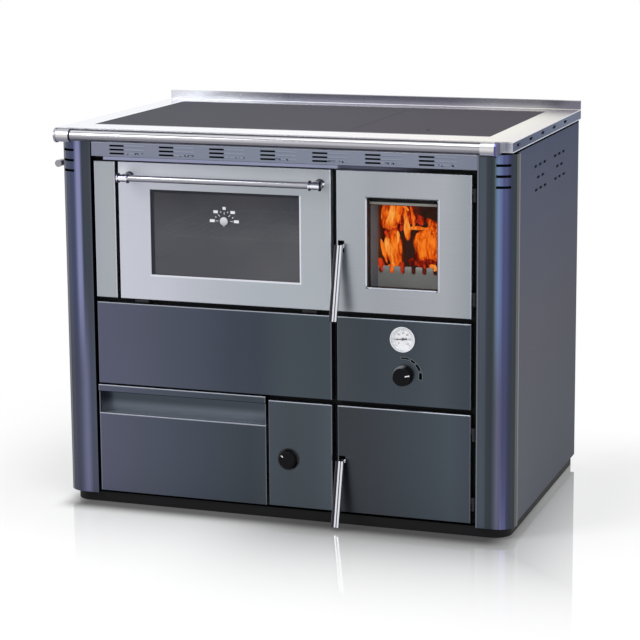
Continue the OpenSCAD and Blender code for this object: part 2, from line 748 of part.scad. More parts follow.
// Welded double wall with the water between its sheets, a throat for the fire door and a pocket for the probe
module boiler_jacket() color(boiler_red) at_front() difference() {
  block(jacket_x0, jacket_x1, frame_y1, jacket_y1, grate_z, jacket_z1);
  block(cavity_x0, cavity_x1, cavity_y0, cavity_y1, grate_z - 1, jacket_z1 + 1);
  block(throat_x0, throat_x1, frame_y1 - 1, cavity_y0 + 1, throat_z0, throat_z1);
  difference() {
    block(jacket_x0 + weld_t, jacket_x1 - weld_t, frame_y1 + weld_t, jacket_y1 - weld_t,
      grate_z + weld_t, jacket_z1 - weld_t);
    block(cavity_x0 - weld_t, cavity_x1 + weld_t, cavity_y0 - weld_t, cavity_y1 + weld_t, grate_z, jacket_z1);
    block(throat_x0 - weld_t, throat_x1 + weld_t, frame_y1, cavity_y0, throat_z0 - weld_t, throat_z1 + weld_t);
  }
  for (z = [flow_z, return_z]) bar_y(jacket_y1 - weld_t - 1, jacket_y1 + 1, stub_x, z, water_r - 3.5);
  for (z = [coil_z, coil_z - coil_pitch]) bar_y(jacket_y1 - weld_t - 1, jacket_y1 + 1, coil_x, z, coil_r - 2.5);
}

module ash_chamber() color(black) at_front() {
  ash_walls();
  flap_pivot();
}
module ash_walls() difference() {
  block(jacket_x0, jacket_x1, frame_y1, jacket_y1, plinth_h + plate_t, grate_z);
  block(jacket_x0 + plate_t, jacket_x1 - plate_t, frame_y1 - 1, jacket_y1 - plate_t,
    plinth_h, grate_z - plate_t);
  block(cavity_x0 + ledge_w, cavity_x1 - ledge_w, cavity_y0 + ledge_w, cavity_y1 - ledge_w,
    grate_z - plate_t - 1, grate_z + 1);
  block(jacket_x0 - 1, jacket_x0 + plate_t + 1, flap_y0, flap_y1, flap_z0, flap_z1);
}

// Pin of the air flap between two lugs on the chamber's wall
module flap_pivot() {
  for (y = [flap_y0 + 12, flap_y1 - 16])
    block(flap_pin_x - 4, jacket_x0, y, y + 4, flap_pin_z - 4, flap_pin_z + 4);
  bar_y(flap_y0 + 13, flap_y1 - 13, flap_pin_x, flap_pin_z, flap_pin_r);
}

// Cast grate with two rows of slots between its bars
grate_bars = 12;
grate_slot = 8;
module grate() color(cast) at_front() difference() {
  pitch = (firebox_w - 44) / grate_bars;
  middle = cavity_y0 + firebox_d / 2;
  block(cavity_x0 + 1, cavity_x1 - 1, cavity_y0 + 1, cavity_y1 - 1, grate_z, grate_z + grate_t);
  for (i = [0:grate_bars - 1], y = [[cavity_y0 + 26, middle - 8], [middle + 14, cavity_y1 - 26]])
    block(cavity_x0 + 26 + i * pitch, cavity_x0 + 26 + grate_slot + i * pitch, y[0], y[1],
      grate_z - 1, grate_z + grate_t + 1);
}

// Plate hung on the boiler's inner front wall, with a row of slots that end in a half round
guard_t = 5;
guard_x0 = cavity_x0 + 2;
guard_x1 = cavity_x1 - 2;
guard_z1 = up_z0 + guard_up;
guard_first = throat_x0 + 5.5;
guard_slots = floor((guard_x1 - guard_first - guard_slot) / guard_pitch);
module guard_slot_outline(w, h, ease = 1.5) polygon(concat(
  [[-w / 2 - ease, 1], [-w / 2 - ease, 0], [-w / 2, -ease]],
  corner(0, w / 2 - h, w / 2, 180, 8, 180),
  [[w / 2, -ease], [w / 2 + ease, 0], [w / 2 + ease, 1]]));
module log_guard() color(cast) at_front() difference() {
  block(guard_x0, guard_x1, cavity_y0, cavity_y0 + guard_t, throat_z0 - 35, guard_z1);
  for (i = [0:guard_slots]) translate([guard_first + guard_pitch * i, cavity_y0 + guard_t + 1, guard_z1])
    rotate([90, 0, 0]) linear_extrude(guard_t + 2) guard_slot_outline(guard_slot, guard_depth);
}

module ash_pan() color(black) at_front() {
  x0 = cavity_x0 + 8;
  x1 = ash_open_x1 - 8;
  y0 = frame_y1 + 14;
  y1 = cavity_y1 - 30;
  z0 = plinth_h + plate_t;
  difference() {
    block(x0, x1, y0, y1, z0, z0 + 80);
    block(x0 + skin, x1 - skin, y0 + skin, y1 - skin, z0 + skin, z0 + 81);
  }
  block((x0 + x1) / 2 - 50, (x0 + x1) / 2 + 50, y0 - 10, y0, z0 + 60, z0 + 63);
}

module stub(x, z, r, wall) difference() {
  union() {
    bar_y(jacket_y1, body_d + 3, x, z, r - 1.4);
    bar_y(body_d + 2, body_d + stub_l, x, z, r);
  }
  bar_y(jacket_y1 - 1, body_d + stub_l + 1, x, z, r - wall);
}

module water_stubs() color([0.75, 0.6, 0.25]) at_front() {
  for (z = [flow_z, return_z]) stub(stub_x, z, water_r, 3.5);
  for (z = [coil_z, coil_z - coil_pitch]) stub(coil_x, z, coil_r, 2.5);
}

// Round case through the control panel, with its stem seated on the front frame
gauge_proud = 8;
lens_t = 1.5;
dial_y = -2;
needle_pin_r = 1.2;
module thermometer_case() color(chrome) at_front() difference() {
  union() {
    bar_y(-gauge_proud, 0, knob_x, gauge_z, gauge_r, 64);
    bar_y(0, skin + 8, knob_x, gauge_z, gauge_r - 3.4, 64);
    bar_y(skin + 8, frame_y0, knob_x, gauge_z, 7.5);
  }
  bar_y(-gauge_proud - 1, -gauge_proud + 0.6 + lens_t, knob_x, gauge_z, gauge_r - 1.5, 64);
  bar_y(-gauge_proud, dial_y, knob_x, gauge_z, gauge_r - 2.5, 64);
  bar_y(dial_y - 1, skin + 2, knob_x, gauge_z, needle_pin_r + turn_clear);
}

module thermometer_lens() color([0.8, 0.9, 0.95, 0.3]) at_front()
  bar_y(-gauge_proud + 0.6, -gauge_proud + 0.6 + lens_t, knob_x, gauge_z, gauge_r - 1.6, 64);

// Needle with its hub and counterweight, drawn pointing to the left
module thermometer_needle() color(black) at_front() translate([knob_x, dial_y, gauge_z]) {
  bar_y(-2.4, -0.8, 0, 0, 2.8);
  bar_y(-1.5, 3, 0, 0, needle_pin_r);
  translate([0, -1.4, 0]) rotate([90, 0, 0]) linear_extrude(0.6)
    rotate(needle_rest) polygon([[-9, -1.8], [-2, -1.2], [needle_l, -0.4],
      [needle_l, 0.4], [-2, 1.2], [-9, 1.8]]);
}
needle_rest = 186;

module draught_regulator() color([0.5, 0.5, 0.52]) at_front() difference() {
  bar_y(skin + 4, frame_y0, knob_x, knob_z, 15);
  bar_y(skin + 3, frame_y0 - 3, knob_x, knob_z, spindle_bore);
}

// Fixed halves of the lift-off hinges: an arm from the frame, a knuckle and its pin
function hinge_zs(z0, z1) = [z0 + hinge_inset, z1 - hinge_inset - 2 * knuckle_h - side_clear];
module hinge_pins() color(chrome) at_front() {
  oven_pin_half(oven_pins_x[0], -1);
  oven_pin_half(oven_pins_x[1], 1);
  for (z = concat(hinge_zs(up_z0, up_z1), hinge_zs(low_z0, low_z1))) {
    bar_z(z, z + knuckle_h, hinge_x, hinge_depth, knuckle_r);
    bar_z(z + knuckle_h - 1, z + 2 * knuckle_h - 1, hinge_x, hinge_depth, pin_r);
    block(hinge_x - 1.5, hinge_x + 1.5, hinge_depth, frame_y0, z, z + knuckle_h);
  }
}

// Moving halves of the lift-off hinges
module hinge_leaves(z0, z1) for (z = hinge_zs(z0, z1)) translate([0, 0, z + knuckle_h + side_clear])
  hinge_leaf();
module hinge_leaf() difference() {
  union() {
    bar_z(0, knuckle_h, hinge_x, hinge_depth, knuckle_r);
    block(right_x1, hinge_x, hinge_depth - 1.5, hinge_depth + 1.5, 0, knuckle_h);
  }
  bar_z(-1, knuckle_h + 1, hinge_x, hinge_depth, bore_r);
}

// Fixed halves of the oven door's hinges; the two pins point away from each other
module oven_pin_half(x, s) translate([x, 0, 0]) scale([s, 1, 1]) {
  bar_x(0, oven_knuckle_l, oven_hinge_depth, oven_hinge_z, oven_knuckle_r);
  bar_x(oven_knuckle_l - 1, 2 * oven_knuckle_l - 1, oven_hinge_depth, oven_hinge_z, pin_r - 0.3);
  block(0, oven_knuckle_l, oven_hinge_depth, frame_y0, oven_hinge_z - 1.5, oven_hinge_z + 1.5);
}
module oven_leaf_half(x, s) translate([x, 0, 0]) scale([s, 1, 1]) difference() {
  union() {
    bar_x(oven_knuckle_l + side_clear, 2 * oven_knuckle_l, oven_hinge_depth, oven_hinge_z, oven_knuckle_r);
    block(oven_knuckle_l + side_clear, 2 * oven_knuckle_l, oven_hinge_depth - 1.5, oven_hinge_depth + 1.5,
      oven_hinge_z, up_z0);
  }
  bar_x(oven_knuckle_l, 2 * oven_knuckle_l + 1, oven_hinge_depth, oven_hinge_z, bore_r - 0.3);
}
oven_pins_x = [oven_x0 + oven_hinge_inset + 2 * oven_knuckle_l,
  left_x1 - oven_hinge_inset - 2 * oven_knuckle_l];

module oven_door_hinges() color(chrome) at_front() {
  oven_leaf_half(oven_pins_x[0], -1);
  oven_leaf_half(oven_pins_x[1], 1);
}

// Strikes that the latch noses rest under
module strike(z) block(lift_x - 3, lift_x + 3, latch_depth + 7, frame_y0,
  z + nose_z + strike_gap, z + nose_z + 5);
module door_strikes() color(chrome) at_front() {
  strike(fire_latch_z);
  strike(ash_latch_z);
}

module oven_door_panel() color(steel) at_front() difference() {
  pan_front(oven_x0, left_x1, up_z0, up_z1, door_d);
  block(oven_win_x0, oven_win_x1, -1, skin + 1, oven_win_z0, oven_win_z1);
}

module oven_door_liner() color(black) at_front() {
  liner_pan(oven_x0 + skin, left_x1 - skin, up_z0 + skin, up_z1 - skin,
    oven_win_x0, oven_win_x1, oven_win_z0, oven_win_z1);
  ring_y(oven_in_x0 + 2, oven_in_x1 - 2, oven_in_z0 + 2, oven_in_z1 - 2, 7, door_d, door_d + seal_t);
}

module oven_door_glass() color([0.1, 0.1, 0.11]) at_front() difference() {
  block(oven_win_x0 - glass_lap, oven_win_x1 + glass_lap, skin, skin + glass_t,
    oven_win_z0 - glass_lap, oven_win_z1 + glass_lap);
  bar_y(skin - 1, skin + glass_t + 1, oven_gauge_x, oven_gauge_z, oven_stem_r + turn_clear);
}

// Bar with a flanged spool and a standoff post at each end
module oven_handle() color(chrome) at_front() {
  bar_x(handle_x0 + flange_t, handle_x1 - flange_t, -handle_reach, handle_z, handle_r);
  for (x = [handle_x0, handle_x1 - collar_l]) {
    bar_x(x, x + flange_t, -handle_reach, handle_z, collar_r);
    bar_x(x + 1, x + collar_l - 1, -handle_reach, handle_z, spool_r);
    bar_x(x + collar_l - flange_t, x + collar_l, -handle_reach, handle_z, collar_r);
    bar_y(-handle_reach, 0, x + collar_l / 2, handle_z, post_r);
    bar_y(-2.5, 0, x + collar_l / 2, handle_z, post_r + 2);
  }
}

// Small thermometer through the middle of the oven glass, with a pointer on its rim that hangs down when cold
module oven_gauge() color(chrome) at_front() {
  bar_y(-1.5, skin - side_clear, oven_gauge_x, oven_gauge_z, oven_gauge_r);
  translate([oven_gauge_x, 0, oven_gauge_z]) rotate([90, 0, 0]) linear_extrude(1.2)
    polygon([[-2.6, 2 - oven_gauge_r], [0, -oven_gauge_r - 4.5], [2.6, 2 - oven_gauge_r]]);
  bar_y(0, door_d - 4, oven_gauge_x, oven_gauge_z, oven_stem_r);
  bar_y(skin + glass_t + side_clear, skin + glass_t + 3, oven_gauge_x, oven_gauge_z, oven_gauge_r - 2);
}

module latch_slot(z)
  block(lift_x - slot_half_w, lift_x + slot_half_w, -1, skin + 1, z - slot_half_h, z + slot_half_h);

module fire_door_panel() color(steel) at_front() difference() {
  pan_front(right_x0, right_x1, up_z0, up_z1, door_d);
  block(fire_win_x0 - bezel_w, fire_win_x1 + bezel_w, -1, skin + 1,
    fire_win_z0 - bezel_w, fire_win_z1 + bezel_w);
  latch_slot(fire_latch_z);
}

// Bright rim whose inner edge slopes in to the glass
module fire_door_bezel() color(chrome) at_front() difference() {
  block(fire_win_x0 - bezel_w, fire_win_x1 + bezel_w, -bezel_proud, skin,
    fire_win_z0 - bezel_w, fire_win_z1 + bezel_w);
  block(fire_win_x0, fire_win_x1, -3, skin + 1, fire_win_z0, fire_win_z1);
  for (s = [0, 1]) {
    translate([s == 0 ? fire_win_x0 : fire_win_x1, -bezel_proud, fire_win_z0 - 10]) rotate([0, 0, 45])
      translate([-1.6, -1.6, 0]) cube([3.2, 3.2, fire_window_h + 20]);
    translate([fire_win_x0 - 10, -bezel_proud, s == 0 ? fire_win_z0 : fire_win_z1]) rotate([45, 0, 0])
      translate([0, -1.6, -1.6]) cube([fire_window_w + 20, 3.2, 3.2]);
  }
}

module fire_door_glass() color([0.2, 0.15, 0.12, 0.5]) at_front()
  block(fire_win_x0 - glass_lap, fire_win_x1 + glass_lap, skin, skin + glass_t,
    fire_win_z0 - glass_lap, fire_win_z1 + glass_lap);

module latch_pocket(z) block(right_x0 + skin - 1, lift_x + 14, skin, door_d + 1, z - 18, z + 18);

module fire_door_liner() color(black) at_front() {
  difference() {
    liner_pan(right_x0 + skin, right_x1 - skin, up_z0 + skin, up_z1 - skin,
      fire_win_x0, fire_win_x1, fire_win_z0, fire_win_z1);
    latch_pocket(fire_latch_z);
  }
  ring_y(throat_x0 - fire_seal_lap, throat_x1 + fire_seal_lap, throat_z0 - fire_seal_lap,
    fire_seal_z1, fire_seal_w, door_d, door_d + seal_t);
}

// Ears and pin that carry a latch behind the door's skin
module latch_ears(z) {
  block(right_x0 + skin, lift_x - ear_gap, skin, latch_depth + 7, z - 7, z + 7);
  block(lift_x + ear_gap, lift_x + ear_gap + 2.5, skin, latch_depth + 7, z - 7, z + 7);
  bar_x(lift_x - ear_gap - 1, lift_x + ear_gap + 1, latch_depth, z, latch_pin_r);
}

module fire_door_fittings() color(chrome) at_front() {
  hinge_leaves(up_z0, up_z1);
  latch_ears(fire_latch_z);
}

groove_w = lift_w - 8;
groove_t = 4;
// Lift handle: boss on the latch pin, neck through the slot, nose under the strike and a grooved grip
module lift_handle(z, l) translate([lift_x, latch_depth, z]) difference() {
  dy = sin(lift_slope);
  dz = cos(lift_slope);
  union() {
    bar_x(side_clear - ear_gap, ear_gap - side_clear, 0, 0, latch_boss_r);
    along_x(-4, 4) polygon([[0, -4], [-24, -4], [-24, 4], [0, 4]]);
    along_x(-4, 4) polygon([[0, -4], [12, -4], [12, nose_z], [0, nose_z]]);
    along_x(-lift_w / 2, lift_w / 2) polygon([[-29, 6], [-29 - l * dy, 6 - l * dz],
      [-29 - l * dy + lift_t * dz, 6 - l * dz - lift_t * dy], [-29 + lift_t * dz, 6 - lift_t * dy]]);
  }
  bar_x(-ear_gap, ear_gap, 0, 0, latch_pin_r + turn_clear);
  along_x(-groove_w / 2, groove_w / 2) polygon([
    for (p = [[-1, -2], [-1, groove_t], [l + 1, groove_t], [l + 1, -2]])
      [-29 - p[0] * dy + p[1] * dz, 6 - p[0] * dz - p[1] * dy]]);
}

module fire_lift_handle() color(chrome) at_front() lift_handle(fire_latch_z, fire_lift_l);
module ash_lift_handle() color(chrome) at_front() lift_handle(ash_latch_z, ash_lift_l);

module ash_door_panel() color(graphite) at_front() difference() {
  pan_front(right_x0, right_x1, low_z0, low_z1, door_d);
  latch_slot(ash_latch_z);
}

module ash_door_liner() color(black) at_front() {
  difference() {
    block(right_x0 + skin, right_x1 - skin, skin + 10, door_d, low_z0 + skin, low_z1 - skin);
    block(right_x0 + 2 * skin, right_x1 - 2 * skin, skin + 9, door_d - skin,
      low_z0 + 2 * skin, low_z1 - 2 * skin);
    latch_pocket(ash_latch_z);
  }
  ring_y(ash_open_x0 - 3, ash_open_x1 + 3, ash_open_z0 - 3, ash_open_z1 + 3, 6, door_d, door_d + seal_t);
}

module ash_door_fittings() color(chrome) at_front() {
  hinge_leaves(low_z0, low_z1);
  latch_ears(ash_latch_z);
}

// Folded drawer front: lower face, a box-shaped grip recess and a lip that stands forward
module drawer_front() color(graphite) at_front() {
  t = skin;
  along_x(left_x0, drawer_x1) polygon([
    [0, low_z0], [0, grip_z0 - 1], [1, grip_z0], [grip_depth, grip_z0], [grip_depth, lip_z0],
    [-lip_reach + 1, lip_z0], [-lip_reach, lip_z0 + 1], [-lip_reach, lip_z1 - 1], [-lip_reach + 1, lip_z1],
    [door_d, lip_z1], [door_d, lip_z1 - t], [-lip_reach + t, lip_z1 - t], [-lip_reach + t, lip_z0 + t],
    [grip_depth + t, lip_z0 + t], [grip_depth + t, grip_z0 - t], [t, grip_z0 - t], [t, low_z0 + t],
    [door_d, low_z0 + t], [door_d, low_z0]]);
  for (x = [left_x0, drawer_x1 - t]) {
    block(x, x + t, 0, door_d, low_z0, lip_z1);
    block(x, x + t, 0, grip_depth + t, grip_z0 - t, lip_z0 + t);
  }
}

module drawer_box() color(black) at_front() difference() {
  block(box_x0, box_x1, skin, box_y1, box_z0, box_z1);
  block(box_x0 + skin, box_x1 - skin, 2 * skin, box_y1 - skin, box_z0 + skin, box_z1 + 1);
}

// Round knob with a shallow dished face
module knob_body(r, depth) rotate([90, 0, 0]) rotate_extrude($fn = 64) polygon([
  [0, 1.5], [r + 1, 1.5], [r + 1, 4], [r, 6], [r - 1, depth - 2], [r - 3, depth], [0, depth - 1]]);

// Knob with a pointer ridge and its spindle
module thermostat_knob() color(black) at_front() translate([knob_x, 0, knob_z]) {
  knob_body(knob_r, knob_depth);
  rotate([0, -12, 0]) block(knob_r - 11, knob_r - 1, -knob_depth - 0.8, -6, -2, 2);
  bar_y(-2, frame_y0 - 4, 0, 0, spindle_r);
}

// Knob, spindle and the shutter disc behind the panel
module air_valve() color(black) at_front() {
  translate([valve_x, -1, valve_z]) {
    knob_body(valve_r - 5, valve_depth);
    bar_y(-2, skin + 4, 0, 0, spindle_r);
  }
  difference() {
    bar_y(skin + side_clear, skin + side_clear + 2, valve_x, valve_z, valve_r + 1, 64);
    air_ports(0, 10);
  }
}

// Air flap outside the ash chamber's wall, hung on its pin
flap_rest = 26;
module air_flap() color([0.5, 0.5, 0.52]) at_front()
  translate([flap_pin_x, 0, flap_pin_z]) rotate([0, flap_rest, 0]) flap_plate();
module flap_plate() {
  x1 = jacket_x0 - side_clear - flap_pin_x;
  block(x1 - skin, x1, flap_y0 - 8, flap_y1 + 8, flap_z0 - 8 - flap_pin_z, -5);
  difference() {
    union() {
      bar_y(flap_y0 + 20, flap_y1 - 20, 0, 0, 4);
      block(0, x1, flap_y0 + 20, flap_y1 - 20, -8, -2.5);
    }
    bar_y(flap_y0, flap_y1, 0, 0, flap_pin_r + turn_clear);
  }
}

// Lever with its boss, the shaft through the side panel and the flap plate in the smoke channel
module damper_lever() color(chrome) at_front() {
  bar_x(lever_x - 7, -side_x - side_clear, damper_y, damper_z, 9);
  bar_y(damper_y - lever_l, damper_y, lever_x, damper_z, damper_r);
  bar_y(damper_y - lever_l, damper_y - lever_l + 22, lever_x, damper_z, damper_r + 1.5);
  bar_x(-side_x - 2, channel_x1 + 2, damper_y, damper_z, damper_r);
  block(channel_x0 + plate_t + 8, channel_x1 - plate_t - 8, damper_y - 1.5, damper_y + 1.5,
    damper_z - 30, damper_z + 20);
}

plinth();
base_pan();
front_frame();
column_left();
column_right();
side_panel_left();
side_panel_right();
back_panel();
hob_supports();
hob_frame();
cooking_plate_left();
cooking_plate_right();
towel_rail();
rail_sleeves();
rail_brackets();
vent_fascia();
filler_strip();
cleaning_cover();
control_panel();
air_panel();
air_escutcheon();
drawer_runners();
oven_box();
oven_rack();
flue_box();
flue_spigot();
boiler_jacket();
ash_chamber();
grate();
log_guard();
ash_pan();
water_stubs();
thermometer_case();
thermometer_lens();
thermometer_needle();
draught_regulator();
hinge_pins();
door_strikes();
oven_door_panel();
oven_door_liner();
oven_door_glass();
oven_door_hinges();
oven_handle();
oven_gauge();
fire_door_panel();
fire_door_bezel();
fire_door_glass();
fire_door_liner();
fire_door_fittings();
fire_lift_handle();
ash_door_panel();
ash_door_liner();
ash_door_fittings();
ash_lift_handle();
drawer_front();
drawer_box();
thermostat_knob();
air_valve();
air_flap();
damper_lever();
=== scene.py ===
"""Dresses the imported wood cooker: sheet-metal and cast finishes, printed scales, dials, the fire behind
the glass and a white studio around it. All lengths are metres in the part's own frame."""

import math

import bmesh
import bpy
import numpy as np
from bpy.props import FloatProperty, FloatVectorProperty, IntProperty, PointerProperty
from mathutils import Matrix, Vector


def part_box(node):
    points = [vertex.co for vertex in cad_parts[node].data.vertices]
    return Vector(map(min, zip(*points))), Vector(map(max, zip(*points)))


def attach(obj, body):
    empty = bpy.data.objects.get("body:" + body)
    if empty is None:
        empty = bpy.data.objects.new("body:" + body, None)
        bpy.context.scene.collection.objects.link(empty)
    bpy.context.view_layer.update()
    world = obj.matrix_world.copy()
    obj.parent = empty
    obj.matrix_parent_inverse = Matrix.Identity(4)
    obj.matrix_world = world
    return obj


bl_info = {
    "name": "Wood cooker dressing",
    "version": (1, 0, 0),
    "blender": (4, 5, 0),
    "location": "3D View > Sidebar > Cooker",
    "description": "Finishes, dials, fire and studio for a free-standing wood cooker",
    "category": "Object",
}

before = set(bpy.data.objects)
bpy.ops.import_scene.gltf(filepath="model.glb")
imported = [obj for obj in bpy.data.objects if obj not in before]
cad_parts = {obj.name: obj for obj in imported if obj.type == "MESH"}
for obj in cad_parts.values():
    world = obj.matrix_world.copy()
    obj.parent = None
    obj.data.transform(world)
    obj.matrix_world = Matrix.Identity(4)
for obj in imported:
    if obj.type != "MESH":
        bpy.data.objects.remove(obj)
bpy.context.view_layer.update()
GUARD_LOW, GUARD_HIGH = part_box("log_guard")
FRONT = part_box("fire_door_panel")[0].y

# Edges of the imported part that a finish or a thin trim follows
WINDOW_LEFT, WINDOW_RIGHT, WINDOW_LOW, WINDOW_HIGH = -0.3015, 0.0465, 0.53, 0.7185
HOB_UNDER, HOB_EDGE, HOB_TOP = 0.8292, 0.8478, 0.8502
SLOT_GROUPS, SLOT_INSET, SLOT_PITCH = 7, 0.086, 0.1175
# Width of the painted highlights along the edges of the fronts
HIGHLIGHT_WIDTH = 0.0021

# Share by which a tone is raised on a surface that has no gloss at all
MATT = 1.28


# Properties


def share_of(name, about, least=0.0):
    return FloatProperty(name=name, description=about, default=1.0, min=least)


def length(name, about, default):
    return FloatProperty(name=name, description=about, default=default, unit="LENGTH")


def turn(name, about, degrees):
    return FloatProperty(name=name, description=about, default=math.radians(degrees), subtype="ANGLE")


def triple(name, about, kind, default):
    return FloatVectorProperty(name=name, description=about, subtype=kind, size=3, default=default)


class StoveFinish(bpy.types.PropertyGroup):
    """Tones of the stove's surfaces, as a share of the finish that each piece has by itself."""

    stainless: share_of("Stainless", "Tone of the steel doors and fascia")
    polished: share_of("Polished", "Tone of the hob frame, rail and handles")
    graphite: share_of("Graphite", "Tone of the lower fronts and columns")
    side: share_of("Side panels", "Tone of the side and back sheets")
    iron: triple("Cast iron", "Cooking plates", "COLOR", (0.053, 0.0535, 0.067))
    black: triple("Black", "Plinth, frame and knobs", "COLOR", (0.0085, 0.0085, 0.0095))


class StoveDials(bpy.types.PropertyGroup):
    """Sizes of the printed scales."""

    dial_radius: length("Dial radius", "White face of the boiler thermometer", 0.0247)
    scale_radius: length("Scale radius", "Printed arc around the thermostat knob", 0.038)
    oven_scale_radius: length("Oven scale radius", "Printed marks on the oven glass", 0.028)


class StoveFire(bpy.types.PropertyGroup):
    """The burning wood behind the fire door's glass."""

    seed: IntProperty(name="Seed", description="Shape of the logs and flames", default=7, min=0)
    log_radius: length("Log radius", "Radius of a split log", 0.036)
    flame_width: share_of("Flame width", "Share of each flame's width", 0.1)
    glow: share_of("Glow", "Strength of the flames' light")


class StoveStudio(bpy.types.PropertyGroup):
    """Camera and lamps."""

    lens: FloatProperty(name="Lens", description="Focal length in millimetres", default=118.64, min=10)
    yaw: turn("Yaw", "Turn of the camera to the left", 19.097)
    pitch: turn("Pitch", "Tilt of the camera downwards", 9.995)
    roll: turn("Roll", "Roll of the camera", -0.427)
    place: triple("Place", "Where the camera stands", "XYZ", (1.5413, -4.5042, 1.3714))
    lamp: share_of("Lamps", "Share of the lamps' light")


# Shader maths


class Wire:
    """An output socket; arithmetic on it adds Math nodes to its finish."""

    def __init__(self, finish, socket):
        self.finish = finish
        self.socket = socket

    def maths(self, operation, *values):
        return self.finish.add("ShaderNodeMath", {"operation": operation}, dict(enumerate(values)))

    def __add__(self, other):
        return self.maths("ADD", self, other)

    def __sub__(self, other):
        return self.maths("SUBTRACT", self, other)

    def __rsub__(self, other):
        return self.maths("SUBTRACT", other, self)

    def __mul__(self, other):
        return self.maths("MULTIPLY", self, other)

    def __truediv__(self, other):
        return self.maths("DIVIDE", self, other)

    def __pow__(self, other):
        return self.maths("POWER", self, other)

    def __abs__(self):
        return self.maths("ABSOLUTE", self)

    __radd__ = __add__
    __rmul__ = __mul__

    def between(self, low, high):
        """0 below low, 1 above high and a smooth step from one to the other."""
        return self.finish.add(
            "ShaderNodeMapRange", {"interpolation_type": "SMOOTHSTEP"}, {0: self, 1: low, 2: high, 3: 0.0, 4: 1.0}
        )

    def band(self, low, full, fade, high):
        """1 from full to fade, 0 below low and above high, with smooth steps."""
        return self.between(low, full) * (1 - self.between(fade, high))

    def most(self, *others):
        """The largest of this and other values."""
        wire = self
        for other in others:
            wire = self.maths("MAXIMUM", wire, other)
        return wire


class Finish:
    """A material with one Principled shader. Constants go straight onto the shader's sockets."""

    def __init__(self, name, **constants):
        self.material = bpy.data.materials.new(name)
        self.material.use_nodes = True
        self.nodes = self.material.node_tree.nodes
        self.links = self.material.node_tree.links
        self.shader = self.nodes["Principled BSDF"]
        for socket, value in constants.items():
            self.set(socket.replace("_", " ").title().replace("Ior", "IOR"), value)

    def set(self, socket, value):
        target = self.shader.inputs[socket]
        if hasattr(target.default_value, "__len__") and len(value) == 3:
            value = (*value, 1.0)
        target.default_value = value

    def add(self, kind, settings=None, inputs=None, output=0):
        """Adds a node of that kind, sets its settings first, then the values or links of its sockets."""
        node = self.nodes.new(kind)
        for key, value in (settings or {}).items():
            if key == "stops":
                ramp = node.color_ramp
                while len(ramp.elements) < len(value):
                    ramp.elements.new(1.0)
                for element, (at, colour) in zip(ramp.elements, value):
                    element.position = at
                    element.color = (*colour, 1.0)
            else:
                setattr(node, key, value)
        for key, value in (inputs or {}).items():
            if isinstance(value, Wire):
                self.links.new(value.socket, node.inputs[key])
            elif value is not None:
                target = node.inputs[key]
                if hasattr(target.default_value, "__len__") and len(target.default_value) == 4:
                    value = (*value[:3], 1.0)
                target.default_value = value
        return Wire(self, node.outputs[output])

    def feed(self, socket, wire):
        self.links.new(wire.socket, self.shader.inputs[socket])

    def axis(self, index):
        """One object coordinate as a number."""
        where = self.add("ShaderNodeTexCoord", output=3)
        return self.add("ShaderNodeSeparateXYZ", None, {0: where}, output=index)

    def way(self, index, low, high):
        """0 at low and 1 at high along one object axis."""
        return (self.axis(index) - low) / (high - low)

    def noise(self, scale, stretch=(1, 1, 1), detail=3.0, rough=0.5):
        """Noise over object coordinates that are stretched first."""
        point = self.add("ShaderNodeTexCoord", output=3)
        point = self.add("ShaderNodeMapping", None, {0: point, 3: stretch})
        inputs = {"Vector": point, "Scale": scale, "Detail": detail, "Roughness": rough}
        return self.add("ShaderNodeTexNoise", None, inputs)

    def mix(self, factor, first, second):
        """Colour mix; factor, first and second are wires or plain values."""
        return self.add("ShaderNodeMix", {"data_type": "RGBA"}, {0: factor, 6: first, 7: second}, output=2)

    def ramp(self, factor, stops):
        """Colour that follows (place, colour) stops."""
        return self.add("ShaderNodeValToRGB", {"stops": stops}, {0: factor})

    def shades(self, factor, stops, share=1.0):
        """Colour that follows (place, red, green, blue) stops in display values."""
        return self.ramp(factor, [(at, tone(*display, share=share)) for at, *display in stops])

    def dim(self, colour, factor):
        """Colour times a number that varies."""
        settings = {"data_type": "RGBA", "blend_type": "MULTIPLY"}
        return self.add("ShaderNodeMix", settings, {0: 1.0, 6: colour, 7: factor}, output=2)

    def blend(self, factor, first, second):
        """Mix of two shaders."""
        return self.add("ShaderNodeMixShader", None, {0: factor, 1: first, 2: second})

    def light(self, grey, strength=1.0):
        """Emission shader of one grey."""
        return self.add("ShaderNodeEmission", None, {0: (grey, grey, grey), 1: strength})

    def streaks(self, along, fine=900.0, long=9.0):
        """Noise drawn out along one axis."""
        stretch = [fine, fine, fine]
        stretch["XYZ".index(along)] = long
        return self.noise(1.0, stretch, 2.0)

    def layer(self, mask, colour):
        """Lays a colour over the base colour where the mask is 1."""
        below = Wire(self, self.shader.inputs["Base Color"].links[0].from_socket)
        self.feed("Base Color", self.mix(mask, below, colour))

    def relief(self, height, strength, distance):
        bump = self.add("ShaderNodeBump", None, {"Strength": strength, "Distance": distance, "Height": height})
        self.feed("Normal", bump)

    def grained(self, grain, rough, spread, strength, distance):
        """Roughness around a middle value, and relief, both from one fine grain."""
        self.feed("Roughness", grain * spread + (rough - spread / 2))
        self.relief(grain, strength, distance)


def shade(colour, share):
    return tuple(min(1.0, c * share) for c in colour)


def tone(*display, share=1.0):
    """Linear colour of display values from 0 to 255."""
    return tuple(share * ((v / 255 + 0.055) / 1.055) ** 2.4 for v in display)


def paint(finish, *names):
    """Gives a finish to CAD nodes by their names."""
    for name in names:
        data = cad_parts[name].data
        data.materials.clear()
        data.materials.append(finish.material)


